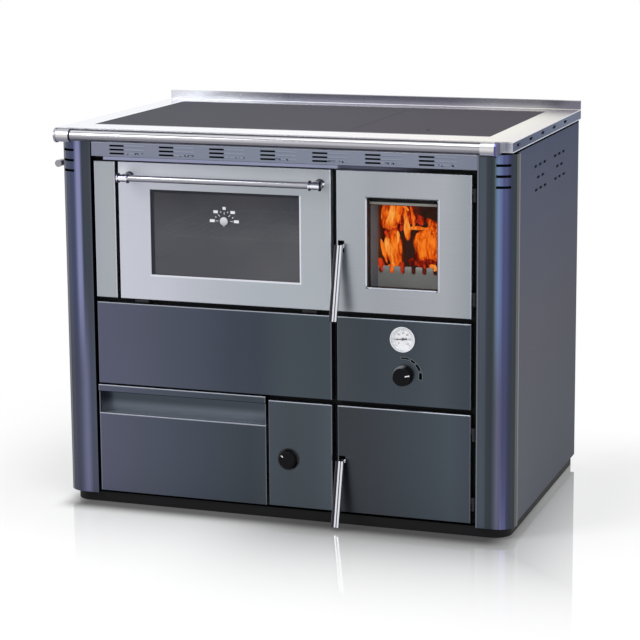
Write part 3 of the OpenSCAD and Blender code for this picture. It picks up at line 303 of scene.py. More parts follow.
def brushed(name, colour, along, width, rough):
    """Ground sheet metal: fine streaks along one axis in tone, roughness and relief, over a broad slow drift."""
    finish = Finish(name, metallic=1.0)
    streak = finish.streaks(along)
    cloud = finish.noise(2.6, detail=1.0)
    tint = finish.mix(streak, shade(colour, 1 - width), shade(colour, 1 + width))
    finish.feed("Base Color", finish.mix(cloud.between(0.3, 0.7) * 0.12, tint, shade(colour, 1.3)))
    finish.grained(streak, rough, 0.1, 0.05, 0.0002)
    return finish


def graded(name, stops, axis, low, high, along="X", grain=0.05, rough=0.3, share=1.0):
    """Metal whose tone follows stops from low to high along one axis, under fine streaks along another.
    Returns the finish and its colour, for more layers."""
    finish = Finish(name, metallic=1.0)
    streak = finish.streaks(along)
    colour = finish.shades(finish.way(axis, low, high), stops, share)
    finish.grained(streak, rough, 0.1, 0.04, 0.0002)
    return finish, finish.dim(colour, streak * (2 * grain) + (1 - grain))


def dressed(name, node, stops, axis, along="X", grain=0.02, rough=0.14, share=1.0, half=None):
    """Graded finish of one CAD node, over its whole box or over half to each side of its middle."""
    low, high = (edge[axis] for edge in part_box(node))
    if half:
        low, high = (low + high) / 2 - half, (low + high) / 2 + half
    finish, colour = graded(name, stops, axis, low, high, along, grain, rough, share)
    finish.feed("Base Color", colour)
    paint(finish, node)
    return finish


def wear(finish, colour, amount, scale=3.0):
    """Slow patches a little lighter and darker, as on sheet that has been wiped."""
    return finish.dim(colour, finish.noise(scale, detail=2.0) * (2 * amount) + (1 - amount))


def rims(finish, colour, low, high, **edges):
    """Painted highlights along the folded edges of a front: left, right and top give each one's colour."""
    distance = {
        "left": lambda: finish.axis(0) - low.x,
        "right": lambda: high.x - finish.axis(0),
        "top": lambda: high.z - finish.axis(2),
    }
    for side, edge in edges.items():
        line = 1 - distance[side]().between(HIGHLIGHT_WIDTH * 0.55, HIGHLIGHT_WIDTH * 1.25)
        colour = finish.mix(line, colour, edge)
    return colour


def front(name, node, stops, share, shade_fall=(1.0, 1.0), along="X", grain=0.05, rough=0.3, **edges):
    """Finish of one front: tone stops from left to right, a painted shade that changes from its lower to its upper
    edge, and painted highlights along its edges.
    """
    low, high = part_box(node)
    finish, colour = graded(name, stops, 0, low.x, high.x, along, grain, rough, share)
    # Painted shade: the tone is scaled from the first value at the lower edge to the second at the upper edge
    colour = finish.dim(colour, finish.way(2, low.z, high.z) * (shade_fall[1] - shade_fall[0]) + shade_fall[0])
    finish.feed("Base Color", rims(finish, wear(finish, colour, 0.05), low, high, **edges))
    paint(finish, node)
    return finish


def cast(name, colour, rough, grain):
    """Cast iron: small pits, faint wear and a matt grain."""
    finish = Finish(name, metallic=0.0, specular_ior_level=0.2)
    pits = finish.noise(grain, detail=5.0, rough=0.65)
    patch = finish.noise(7.0, detail=3.0)
    tint = finish.mix(pits, shade(colour, 0.8), shade(colour, 1.2))
    finish.feed("Base Color", finish.mix(patch.between(0.4, 0.65) * 0.25, tint, shade(colour, 1.3)))
    finish.grained(pits, rough, 0.18, 0.22, 0.0006)
    return finish


def plain(name, colour, rough, metallic=0.0, grain=500.0, **constants):
    """Even paint or plastic with a slight orange peel."""
    finish = Finish(name, metallic=metallic, **constants)
    peel = finish.noise(grain, detail=2.0)
    finish.feed("Base Color", finish.mix(peel, shade(colour, 0.88), shade(colour, 1.14)))
    finish.grained(peel, rough, 0.1, 0.06, 0.0003)
    return finish


# Mesh helpers


def grid_mesh(name, grids, round_u=False, round_v=False, weld=True, smooth=True, heat=None):
    """Mesh of one grid of points[u, v] or of several alike, points[k, u, v]; round_u or round_v joins the last
    row or column to the first. heat is a number for each point, kept as an attribute."""
    grids = grids.reshape(-1, *grids.shape[-3:])
    rows, columns = grids.shape[1:3]
    u = np.arange(rows if round_u else rows - 1)
    v = np.arange(columns if round_v else columns - 1)
    uu, vv = (g.ravel() for g in np.meshgrid(u, v, indexing="ij"))
    up, vp = (uu + 1) % rows, (vv + 1) % columns
    faces = np.stack([uu * columns + vv, up * columns + vv, up * columns + vp, uu * columns + vp], 1)
    faces = (faces[None] + (np.arange(len(grids)) * rows * columns)[:, None, None]).reshape(-1, 4)
    mesh = bpy.data.meshes.new(name)
    mesh.from_pydata(grids.reshape(-1, 3).tolist(), [], faces.tolist())
    if heat is not None:
        mesh.attributes.new("warmth", "FLOAT", "POINT").data.foreach_set("value", heat.ravel().astype(np.float32))
    if weld:
        tidy(mesh)
    mesh.shade_smooth() if smooth else mesh.shade_flat()
    return mesh


def tidy(mesh):
    """Merges doubled points, as at a pole, and turns every face outwards."""
    work = bmesh.new()
    work.from_mesh(mesh)
    bmesh.ops.remove_doubles(work, verts=work.verts, dist=1e-6)
    bmesh.ops.recalc_face_normals(work, faces=work.faces)
    work.to_mesh(mesh)
    work.free()


def joined(name, meshes):
    """One mesh of several."""
    points, faces, start = [], [], 0
    for mesh in meshes:
        co = np.zeros(len(mesh.vertices) * 3)
        mesh.vertices.foreach_get("co", co)
        points.append(co.reshape(-1, 3))
        faces += [[start + i for i in p.vertices] for p in mesh.polygons]
        start += len(mesh.vertices)
        bpy.data.meshes.remove(mesh)
    made = bpy.data.meshes.new(name)
    made.from_pydata(np.concatenate(points).tolist(), [], faces)
    return made


def place(name, mesh, finish, body, slot=None):
    """Puts a finished mesh into the scene on the CAD body that it moves with."""
    mesh.name = name
    mesh.materials.clear()
    mesh.materials.append(finish.material)
    piece = bpy.data.objects.new(name, mesh)
    bpy.context.scene.collection.objects.link(piece)
    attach(piece, body)
    return piece


def printed(name, meshes, finish, body="stove"):
    """Puts thin print that belongs together into the scene as one piece."""
    place(name, joined(name, meshes), finish, body, "black_plastic")


def slab(name, face, back, smooth=False):
    """Closed sheet between two like grids of points[u, v]: each row goes round its front and its back, and the
    first and last rows are folded shut."""
    rows = np.concatenate([face, back[:, ::-1]], 1)
    ends = np.concatenate([back, back[:, ::-1]], 1)
    return grid_mesh(name, np.concatenate([ends[:1], rows, ends[-1:]], 0), round_v=True, smooth=smooth)


def front_sheet(name, flat, y, thick):
    """A thin closed plate on a front: flat[u, v] holds x and z, and the plate runs from y to y - thick."""
    face = np.stack([flat[..., 0], np.full(flat.shape[:2], y - thick), flat[..., 1]], -1)
    return slab(name, face, face + [0, thick, 0])


def arc_band(centre, inner, outer, start, end, steps):
    """Points of a ring sector: radius from inner to outer, angle from start to end in degrees, clockwise from 12."""
    angle = np.radians(np.linspace(start, end, steps))[:, None]
    radius = np.stack([np.broadcast_to(inner, steps), np.broadcast_to(outer, steps)], 1)
    return np.stack([centre[0] + radius * np.sin(angle), centre[1] + radius * np.cos(angle)], -1)


def bar_flat(centre, angle, near, far, wide):
    """Points of a radial bar: from radius near to far at a clockwise angle in degrees, wide across."""
    a = math.radians(angle)
    out, side = np.array([math.sin(a), math.cos(a)]), np.array([math.cos(a), -math.sin(a)])
    r = np.array([near, far])[:, None, None]
    s = np.array([-wide / 2, wide / 2])[None, :, None]
    return np.array(centre) + r * out + s * side


def box_flat(centre, wide, high):
    """Corner points of an upright rectangle."""
    x, z = centre
    return np.array([[(x + s * wide / 2, z + t * high / 2) for t in (-1, 1)] for s in (-1, 1)])


def centre_of(node):
    """Middle of a node's box as seen from the front, x and z."""
    low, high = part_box(node)
    return (low.x + high.x) / 2, (low.z + high.z) / 2


def lettering(text, height, x, y, z):
    """Digits as a flat mesh on a front, centred at x and z."""
    curve = bpy.data.curves.new("digits", "FONT")
    curve.body = text
    curve.size = height
    curve.extrude = 0.00005
    curve.align_x = "CENTER"
    curve.align_y = "CENTER"
    holder = bpy.data.objects.new("digits", curve)
    bpy.context.scene.collection.objects.link(holder)
    bpy.context.view_layer.update()
    mesh = bpy.data.meshes.new_from_object(holder.evaluated_get(bpy.context.evaluated_depsgraph_get()))
    bpy.data.objects.remove(holder)
    mesh.transform(Matrix.Translation((x, y, z)) @ Matrix.Rotation(math.pi / 2, 4, "X"))
    tidy(mesh)
    return mesh


# Stage


class STOVE_OT_studio(bpy.types.Operator):
    """Stands the camera where the photograph was taken, with soft lamps and a white floor"""

    bl_idname = "stove.studio"
    bl_label = "Studio"

    def execute(self, context):
        scene, studio = context.scene, context.scene.stove_studio
        self.camera(scene, studio)
        self.lamps(scene, studio)
        self.floor()
        self.world(scene)
        scene.view_settings.view_transform = "Standard"
        return {"FINISHED"}

    def camera(self, scene, studio):
        sin_y, cos_y = math.sin(studio.yaw), math.cos(studio.yaw)
        ahead = Vector((-sin_y * math.cos(studio.pitch), cos_y * math.cos(studio.pitch), -math.sin(studio.pitch)))
        right = Vector((cos_y, sin_y, 0.0))
        up = right.cross(ahead)
        right, up = (
            right * math.cos(studio.roll) + up * math.sin(studio.roll),
            up * math.cos(studio.roll) - right * math.sin(studio.roll),
        )
        data = bpy.data.cameras.new("camera")
        data.lens, data.sensor_width, data.shift_y = studio.lens, 36.0, -0.1
        data.clip_start, data.clip_end = 0.1, 60.0
        camera = bpy.data.objects.new("camera", data)
        scene.collection.objects.link(camera)
        turn = Matrix((right, up, -ahead)).transposed().to_4x4()
        camera.matrix_world = Matrix.Translation(studio.place) @ turn
        scene.camera = camera

    def lamps(self, scene, studio):
        for name, at, aim, wide, high, watts in (
            ("key", (-2.2, -2.4, 3.0), (0, 0, 0.5), 1.6, 1.6, 62.0),
            ("top", (0.3, -0.2, 3.4), (0, 0, 0.8), 2.6, 1.8, 48.0),
            ("fill", (2.6, -2.6, 1.8), (0.2, 0, 0.45), 1.6, 2.0, 26.0),
        ):
            data = bpy.data.lights.new(name, "AREA")
            data.shape, data.size, data.size_y = "RECTANGLE", wide, high
            data.energy = watts * studio.lamp
            lamp = bpy.data.objects.new(name, data)
            lamp.location = at
            lamp.rotation_mode = "QUATERNION"
            lamp.rotation_quaternion = (Vector(aim) - Vector(at)).to_track_quat("-Z", "Y")
            scene.collection.objects.link(lamp)

    def floor(self):
        """White floor. Near the stove it takes the shadow, a painted contact shadow along the foot of the front and a
        faint reflection that fades away from the front, and further out it is plain white, so that no horizon shows."""
        steps = np.linspace(-9, 9, 13)
        x, y = np.meshgrid(steps, steps, indexing="ij")
        mesh = grid_mesh("floor", np.stack([x, y, np.zeros_like(x)], -1), weld=False)
        finish = Finish("white_floor", base_color=(0.85, 0.85, 0.86), roughness=0.9, specular_ior_level=0.0)
        lit = finish.add("ShaderNodeBsdfDiffuse", None, {0: (0.60, 0.60, 0.60)})
        near = finish.add("ShaderNodeAddShader", None, {0: finish.light(1.0, 0.34), 1: lit})
        mirror = finish.add("ShaderNodeBsdfGlossy", None, {0: (1.0, 1.0, 1.0), 1: 0.015})
        x, y = finish.axis(0), finish.axis(1)
        half, ahead, fading = 0.515, -0.39, 0.19
        away = (abs(x) - half).most(ahead - y, 0.0)
        fade = away.maths("POWER", math.e, away / -fading) * (x.between(-0.2, 0.1) * 0.36 + 0.23)
        shiny = finish.blend(fade, near, mirror)
        # Painted contact shadow: the floor darkens towards the foot of the stove's front
        contact_shadow = y.between(-0.405, -0.335) ** 1.4 * 0.85 * (1 - y.between(-0.2, 0.1)) * (1 - abs(x).between(0.46, 0.54))
        shiny = finish.blend(contact_shadow, shiny, finish.light(0.03))
        far = (abs(x) - 0.6).between(0.0, 0.5).most(y.between(0.3, 0.7), 1 - y.between(-1.3, -0.9))
        sight = finish.blend(far, shiny, finish.light(1.0))
        whole = finish.blend(self.seen_rays(finish), Wire(finish, finish.shader.outputs[0]), sight)
        finish.links.new(whole.socket, finish.nodes["Material Output"].inputs[0])
        mesh.materials.append(finish.material)
        floor = bpy.data.objects.new("floor", mesh)
        bpy.context.scene.collection.objects.link(floor)

    @staticmethod
    def seen_rays(finish):
        path = finish.nodes.new("ShaderNodeLightPath")
        kinds = ("Is Camera Ray", "Is Glossy Ray", "Is Transmission Ray")
        camera, *others = (Wire(finish, path.outputs[kind]) for kind in kinds)
        return camera.most(*others)

    def world(self, scene):
        world = bpy.data.worlds.new("studio")
        world.use_nodes = True
        scene.world = world
        finish = Finish.__new__(Finish)
        finish.nodes, finish.links = world.node_tree.nodes, world.node_tree.links
        seen = self.seen_rays(finish)
        background = finish.nodes["Background"]
        background.inputs[0].default_value = (1.0, 1.0, 1.0, 1.0)
        finish.links.new((seen * 0.45 + 0.55).socket, background.inputs[1])


# CAD finishes


class STOVE_OT_sheet_metal(bpy.types.Operator):
    """Finishes the doors, fronts, columns, side panels, hob frame, rail and handles"""

    bl_idname = "stove.sheet_metal"
    bl_label = "Sheet metal"

    def execute(self, context):
        look = context.scene.stove_finish
        self.steel_fronts(look.stainless)
        self.graphite_fronts(look.graphite)
        self.drawer(look.graphite)
        self.column("column_left", -1, look.graphite)
        self.column("column_right", 1, look.graphite)
        self.sides(look.side)
        self.hob(look.polished)
        self.bars(look.polished)
        return {"FINISHED"}

    def steel_fronts(self, share):
        """Ground stainless doors whose tone is a painted reflection: cool white on the left, darker to the right, with
        painted highlights along the folded edges.
        """
        steel_highlights = {"left": tone(205, 208, 216, share=share), "right": tone(196, 199, 208, share=share)}
        stops = (
            (0, 198, 200, 211), (0.2, 194, 196, 207), (0.35, 184, 188, 197), (0.7, 172, 178, 185),
            (1, 172, 178, 184),
        )
        oven = front("stainless_oven", "oven_door_panel", stops, share, (1.02, 0.97), rough=0.46, **steel_highlights)
        x, z = oven.axis(0), oven.axis(2)
        # Painted light: a pale band just above the handle, which lifts the dark reflection of the handle in the door
        oven.layer(z.band(0.745, 0.752, 0.752, 0.776) * 0.3, tone(250, 252, 255))
        # Painted highlight: a light line along the window's right and lower edges
        out, foot = WINDOW_RIGHT + 0.003, WINDOW_LOW - 0.004
        lit_line_beside = x.band(WINDOW_RIGHT - 0.0004, WINDOW_RIGHT, out, out + 0.0006)
        lit_line_beside = lit_line_beside * z.band(foot, foot + 0.0004, WINDOW_HIGH, WINDOW_HIGH + 0.0005)
        below = x.band(WINDOW_LEFT, WINDOW_LEFT + 0.0005, out, out + 0.0006)
        below = below * z.band(foot, foot + 0.0004, WINDOW_LOW, WINDOW_LOW + 0.0004)
        oven.layer(lit_line_beside.most(below), tone(222, 224, 232))
        stops = (0, 164, 168, 177), (0.5, 166, 173, 178), (1, 168, 172, 177)
        # Painted highlights along the strip's left and right edges
        edges = {"left": tone(198, 202, 212), "right": tone(186, 190, 198)}
        front("stainless_strip", "filler_strip", stops, share, along="Z", grain=0.03, **edges)
        stops = (
            (0, 168, 173, 179), (0.16, 166, 171, 177), (0.3, 161, 165, 172), (0.6, 168, 172, 178),
            (0.8, 170, 174, 180), (1, 152, 158, 165),
        )
        door = front("stainless_fire_door", "fire_door_panel", stops, share, (0.98, 1.02), **steel_highlights)
        # Painted highlight: a light line on the door just right of the bezel
        low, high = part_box("fire_door_bezel")
        lit_line_beside = door.axis(0).band(high.x + 0.0001, high.x + 0.0003, high.x + 0.0018, high.x + 0.0024)
        level = door.axis(2).band(low.z, low.z + 0.001, high.z - 0.001, high.z)
        door.layer(lit_line_beside * level, tone(214, 216, 226))
        # The fascia, with a painted highlight along its top edge
        stops = (0, 132, 135, 152), (0.45, 130, 137, 153), (0.85, 134, 139, 156), (1, 126, 131, 148)
        front("stainless_fascia", "vent_fascia", stops, share, (1.0, 1.04), grain=0.04, top=tone(178, 182, 194))

    def graphite_fronts(self, share):
        """Dark coated fronts that drift from violet grey over slate to green grey, with painted highlights along their
        edges and a slight painted shade from lower to upper edge.
        """
        # Painted highlights along the top, left and right edges; the control and air panels take their own top and
        # right ones
        edges = {"top": tone(150, 155, 165), "left": tone(112, 117, 126), "right": tone(100, 105, 112)}
        cover = (
            (0, 90, 93, 113), (0.15, 87, 90, 107), (0.3, 80, 85, 100), (0.45, 74, 80, 93), (0.58, 67, 74, 86),
            (0.7, 65, 72, 83), (0.82, 71, 79, 86), (1, 69, 77, 84),
        )
        control = (0, 68, 74, 80), (0.25, 65, 71, 78), (0.55, 68, 75, 82), (0.75, 73, 80, 87), (1, 62, 69, 78)
        air = (0, 71, 78, 86), (0.35, 68, 76, 82), (0.7, 70, 76, 83), (1, 76, 82, 90)
        ash = (0, 58, 61, 65), (0.3, 61, 65, 71), (0.6, 65, 72, 79), (0.85, 70, 78, 86), (1, 67, 73, 82)
        for name, node, stops, shade_fall, own in (
            ("cover", "cleaning_cover", cover, (0.99, 1.0), {}),
            ("control", "control_panel", control, (1.0, 1.0), {"top": tone(140, 146, 156)}),
            ("air", "air_panel", air, (0.96, 1.04), {"right": tone(108, 112, 120)}),
            ("ash_door", "ash_door_panel", ash, (0.95, 1.05), {}),
        ):
            front(f"graphite_{name}", node, stops, share, shade_fall, grain=0.03, **{**edges, **own})

    def drawer(self, share):
        """The drawer's front: a lip on top, a deep recess to grip it by, and the flat panel below, with painted light
        and shade.
        """
        low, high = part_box("drawer_front")
        drift = (
            (0, 86, 90, 108), (0.25, 81, 85, 99), (0.45, 74, 81, 93), (0.62, 70, 76, 88), (0.78, 66, 73, 81),
            (0.9, 63, 69, 76), (1, 66, 72, 79),
        )
        finish, colour = graded("graphite_drawer", drift, 0, low.x, high.x, grain=0.03, share=share)
        z = finish.axis(2)
        step, lip = high.z - 0.065, high.z - 0.0155
        # Painted shade: a little darker towards the bottom
        colour = finish.dim(colour, (z - low.z).between(0.0, 0.18) * 0.04 + 0.94)
        # The recess: painted light on its lower part near the step, darker higher up
        hollow = finish.axis(1).between(FRONT + 0.004, FRONT + 0.012)
        deep = 1 - (z - step).between(0.0, 0.03)
        recess = finish.mix(deep, tone(66, 72, 80, share=share), tone(118, 126, 138, share=share))
        edges = {"left": tone(112, 117, 126), "right": tone(98, 103, 110), "top": tone(150, 155, 165)}
        colour = rims(finish, finish.mix(hollow, colour, recess), low, high, **edges)
        # Painted highlight along the top edge of the flat panel at the step
        edge = 1 - abs(z - (step - 0.0005)).between(0.0012, 0.0024)
        colour = finish.mix(edge * (1 - hollow), colour, tone(146, 150, 160))
        # Painted shadow: a dark line under the lip
        under = 1 - abs(z - lip).between(0.0008, 0.0018)
        colour = finish.mix(under, colour, tone(30, 33, 40))
        finish.feed("Base Color", colour)
        finish.feed("Metallic", 1 - hollow * deep * 0.7)
        paint(finish, "drawer_front")

    def column(self, node, side, share):
        """Coated column: its tone is a painted reflection that follows the way round the sheet in light and dark bands,
        from a painted highlight on the inner edge over the front to the side. The pressed corner shifts to violet blue,
        more so in its upper half."""
        # Painted reflection bands, highlights included, in display values: place round the sheet, then red, green, blue
        right_high = (
            (0, 127, 132, 142), (0.016, 101, 106, 118), (0.031, 70, 74, 86), (0.058, 79, 85, 96),
            (0.137, 76, 84, 93), (0.168, 60, 65, 75), (0.254, 57, 62, 66), (0.285, 65, 76, 79),
            (0.305, 93, 108, 122), (0.324, 100, 117, 146), (0.355, 107, 128, 165), (0.402, 98, 115, 153),
            (0.434, 85, 95, 130), (0.453, 74, 78, 116), (0.543, 72, 76, 111), (0.59, 64, 71, 98),
            (0.625, 60, 65, 87), (0.676, 58, 64, 77), (0.77, 56, 62, 67), (0.887, 61, 63, 67), (1, 66, 68, 72),
        )
        right_low = (
            (0, 118, 124, 132), (0.031, 68, 73, 84), (0.058, 74, 82, 91), (0.137, 71, 78, 87), (0.168, 59, 63, 71),
            (0.254, 55, 61, 66), (0.305, 76, 82, 92), (0.355, 96, 97, 122), (0.43, 84, 84, 110),
            (0.453, 72, 74, 105), (0.543, 68, 71, 100), (0.6, 60, 64, 82), (0.676, 57, 62, 72), (0.77, 56, 61, 66),
            (1, 62, 64, 68),
        )
        left_high = (
            (0, 72, 76, 88), (0.02, 74, 78, 90), (0.04, 66, 71, 79), (0.13, 65, 71, 78), (0.165, 62, 66, 82),
            (0.19, 92, 96, 124), (0.21, 132, 135, 172), (0.265, 136, 139, 178), (0.295, 104, 108, 142),
            (0.33, 70, 76, 104), (0.42, 71, 77, 100), (0.55, 80, 84, 100), (0.8, 72, 76, 90), (1, 84, 88, 96),
        )
        left_low = (
            (0, 76, 81, 94), (0.09, 74, 78, 96), (0.13, 92, 95, 118), (0.18, 106, 110, 136), (0.22, 102, 105, 130),
            (0.26, 90, 93, 116), (0.3, 76, 78, 98), (0.36, 70, 72, 90), (0.52, 70, 74, 84), (1, 78, 82, 90),
        )
        high, low = (right_high, right_low) if side > 0 else (left_high, left_low)
        finish = Finish(f"graphite_{node}", metallic=1.0)
        inner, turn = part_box(node)[0 if side > 0 else 1].x * side, 0.1285
        way = (finish.axis(0) * side + (finish.axis(1) - FRONT) - (inner - 0.003)) / turn
        # The painted reflection bands differ between the lower and the upper half
        upper = finish.axis(2).between(0.27, 0.55)
        colour = finish.mix(upper, finish.shades(way, low, share), finish.shades(way, high, share))
        streak = finish.streaks("Z", 500.0, 4.0)
        finish.feed("Base Color", wear(finish, finish.dim(colour, streak * 0.06 + 0.97), 0.03))
        finish.grained(streak, 0.3, 0.08, 0.03, 0.0002)
        paint(finish, node)

    def sides(self, share):
        """Side and back sheets: a warm grey that cools towards the top."""
        stops = (0, 93, 96, 103), (0.5, 92, 93, 101), (0.75, 88, 91, 103), (1, 81, 86, 104)
        for node in ("side_panel_left", "side_panel_right", "back_panel"):
            low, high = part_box(node)
            finish, colour = graded(f"graphite_{node}", stops, 2, low.z, high.z, "Z", 0.03, 0.42, share * MATT)
            finish.set("Metallic", 0.0)
            finish.set("Specular IOR Level", 0.0)
            finish.feed("Base Color", wear(finish, colour, 0.04, 2.2))
            paint(finish, node)

    def hob(self, share):
        """The polished frame round the plates, its tones painted reflections: cream top, darker front edge, slate sides
        and a grey upstand, with painted highlights along edges and a painted shadow in the gap along the plates' front
        edge.
        """
        # Painted reflections: tone stops for the top, the upstand, the front face and the slate sides
        top = (0, 238, 240, 246), (0.5, 246, 245, 250), (0.85, 240, 236, 233), (0.95, 232, 229, 218), (1, 220, 216, 214)
        rear = (
            (0, 217, 219, 226), (0.15, 215, 217, 224), (0.3, 140, 142, 154), (0.55, 132, 131, 145),
            (0.7, 134, 133, 147), (0.8, 167, 168, 176), (0.9, 168, 168, 175), (0.95, 122, 120, 136),
            (1, 122, 120, 136),
        )
        edge = (0, 128, 128, 134), (0.47, 132, 131, 137), (0.476, 186, 188, 194), (1, 190, 193, 204)
        slate = (0, 90, 95, 116), (0.15, 92, 98, 116), (0.4, 100, 106, 125), (0.7, 112, 120, 138), (1, 110, 116, 134)
        low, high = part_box("hob_frame")
        finish, colour = graded("stainless_hob", top, 0, low.x, high.x, "X", 0.03, 0.24, share)
        x, y, z = (finish.axis(i) for i in range(3))
        stand = z.between(HOB_TOP, HOB_TOP + 0.001) * y.between(0.3, 0.31)
        colour = finish.mix(stand, colour, finish.shades(finish.way(0, low.x, high.x), rear, share))
        # Painted highlight along the upstand's top edge
        colour = finish.mix(stand * z.between(high.z - 0.002, high.z - 0.001), colour, tone(222, 224, 230))
        # Front face: a painted reflection, dark over most of it and light at its right end
        face = (1 - y.between(low.y + 0.0006, low.y + 0.0016)) * (1 - z.between(0.8465, 0.848))
        colour = finish.mix(face, colour, finish.shades(x, edge))
        # Slate sides: a painted dark reflection, with painted highlights along their lower and upper edges
        flank = abs(x).between(high.x - 0.0012, high.x - 0.0004)
        colour = finish.mix(flank, colour, finish.shades(finish.way(1, low.y, high.y), slate, share * MATT))
        colour = finish.mix(flank * (1 - z.between(HOB_UNDER, HOB_UNDER + 0.001)), colour, tone(222, 226, 234))
        colour = finish.mix(flank * z.band(HOB_EDGE, HOB_EDGE + 0.001, 0.851, 0.852), colour, tone(236, 236, 240))
        # Painted shadow in the gap along the plates' front edge
        plate_gap_shadow = y.band(FRONT + 0.0655, FRONT + 0.0665, FRONT + 0.0775, FRONT + 0.078)
        plate_gap_shadow = plate_gap_shadow * x.band(-0.46, -0.458, 0.445, 0.447) * z.between(0.849, 0.8495)
        finish.feed("Base Color", finish.mix(plate_gap_shadow, colour, tone(24, 24, 30)))
        finish.feed("Metallic", 1 - flank)
        finish.set("Specular IOR Level", 0.0)
        paint(finish, "hob_frame")

    def bars(self, share):
        """Polished round bars: painted reflections, the bright and dark lines that run along them."""
        rail = (
            (0, 78, 78, 88), (0.1, 82, 82, 92), (0.16, 58, 58, 68), (0.2, 72, 72, 82), (0.26, 114, 113, 122),
            (0.36, 130, 129, 136), (0.44, 146, 145, 150), (0.5, 172, 171, 178), (0.56, 186, 185, 192),
            (0.66, 186, 186, 191), (0.71, 164, 163, 168), (0.76, 152, 151, 156), (0.85, 162, 161, 166),
            (0.89, 212, 212, 218), (0.945, 228, 228, 234), (1, 140, 140, 146),
        )
        sleeve = (
            (0, 58, 60, 74), (0.1, 118, 120, 136), (0.25, 130, 130, 144), (0.38, 168, 166, 172),
            (0.5, 214, 212, 212), (0.62, 218, 216, 214), (0.73, 200, 201, 206), (0.84, 202, 203, 208),
            (0.93, 188, 189, 194), (1, 148, 147, 152),
        )
        grip = (
            (0, 88, 88, 98), (0.2, 101, 102, 111), (0.37, 134, 135, 144), (0.46, 172, 173, 180),
            (0.6, 178, 179, 186), (0.68, 174, 175, 182), (0.78, 158, 158, 167), (0.88, 130, 131, 140),
            (1, 124, 125, 134),
        )
        spool = (
            (0, 50, 50, 62), (0.2, 46, 46, 60), (0.32, 148, 148, 160), (0.42, 238, 238, 247), (0.56, 250, 250, 254),
            (0.64, 124, 124, 140), (0.8, 70, 70, 86), (1, 92, 92, 108),
        )
        lift = (
            (0, 112, 112, 120), (0.05, 60, 60, 68), (0.27, 46, 47, 53), (0.33, 222, 222, 228), (0.5, 234, 234, 240),
            (0.55, 92, 94, 102), (0.66, 86, 88, 97), (0.71, 214, 215, 222), (0.9, 226, 228, 235),
            (1, 190, 192, 200),
        )
        rim = (
            (0, 148, 152, 160), (0.02, 156, 160, 168), (0.05, 196, 200, 210), (0.95, 196, 200, 210),
            (0.975, 150, 155, 160), (1, 158, 162, 168),
        )
        finish = dressed("stainless_towel_rail", "towel_rail", rail, 2, share=share)
        finish.layer(finish.axis(0).band(-0.4605, -0.46, -0.4572, -0.4567), tone(36, 36, 54))
        dressed("stainless_rail_sleeves", "rail_sleeves", sleeve, 2, share=share)
        handle = dressed("stainless_oven_handle", "oven_handle", grip, 2, share=share, half=0.007)
        low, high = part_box("oven_handle")
        end = (high.x - low.x) / 2 - 0.0262
        out = abs(handle.axis(0) - (low.x + high.x) / 2).between(end, end + 0.001)
        handle.layer(out, handle.shades(handle.way(2, low.z, high.z), spool, share))
        for node in ("fire_lift_handle", "ash_lift_handle"):
            dressed(f"stainless_{node}", node, lift, 0, "Z", 0.02, 0.18, share, half=0.0085)
        # The fire door's bezel: a painted reflection, darker along its lower and upper edges
        dressed("stainless_rim", "fire_door_bezel", rim, 2, "Z", 0.02, 0.16, share)
        bracket = brushed("coated_bracket", tone(80, 80, 130), "Z", 0.04, 0.3)
        # Light grey at the back end of each bracket
        bracket.layer(bracket.axis(1).between(-0.356, -0.35), tone(164, 168, 176))
        # Painted light: the left bracket is lighter all over than the right
        bracket.layer(1 - bracket.axis(0).between(-0.1, 0.1), tone(150, 150, 158))
        paint(bracket, "rail_brackets")
        paint(brushed("stainless_case", tone(226, 228, 234), "Z", 0.03, 0.16), "thermometer_case")
        self.lever(share)

    def lever(self, share):
        """Plated rod with a painted highlight along its top, and a painted dark disc on its front end for the shade in
        its hole.
        """
        low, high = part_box("damper_lever")
        lever = brushed("plated_lever", tone(150, 150, 154, share=share), "Y", 0.05, 0.2)
        x, y, z = (lever.axis(i) for i in range(3))
        centre = (low.x + 0.008, high.z - 0.008)
        away = (x - centre[0]) ** 2 + (z - centre[1]) ** 2
        end = 1 - y.between(low.y + 0.0004, low.y + 0.0009)
        # Painted shade: a dark disc on the front end, for the shade inside the rod's hole
        lever.layer(end * (1 - away.between(0.0028**2, 0.0036**2)), tone(8, 8, 10))
        # Painted highlight along the top of the rod, behind its front end
        lever.layer(z.between(centre[1] + 0.001, centre[1] + 0.004) * (1 - end), tone(214, 212, 208, share=share))
        paint(lever, "damper_lever")


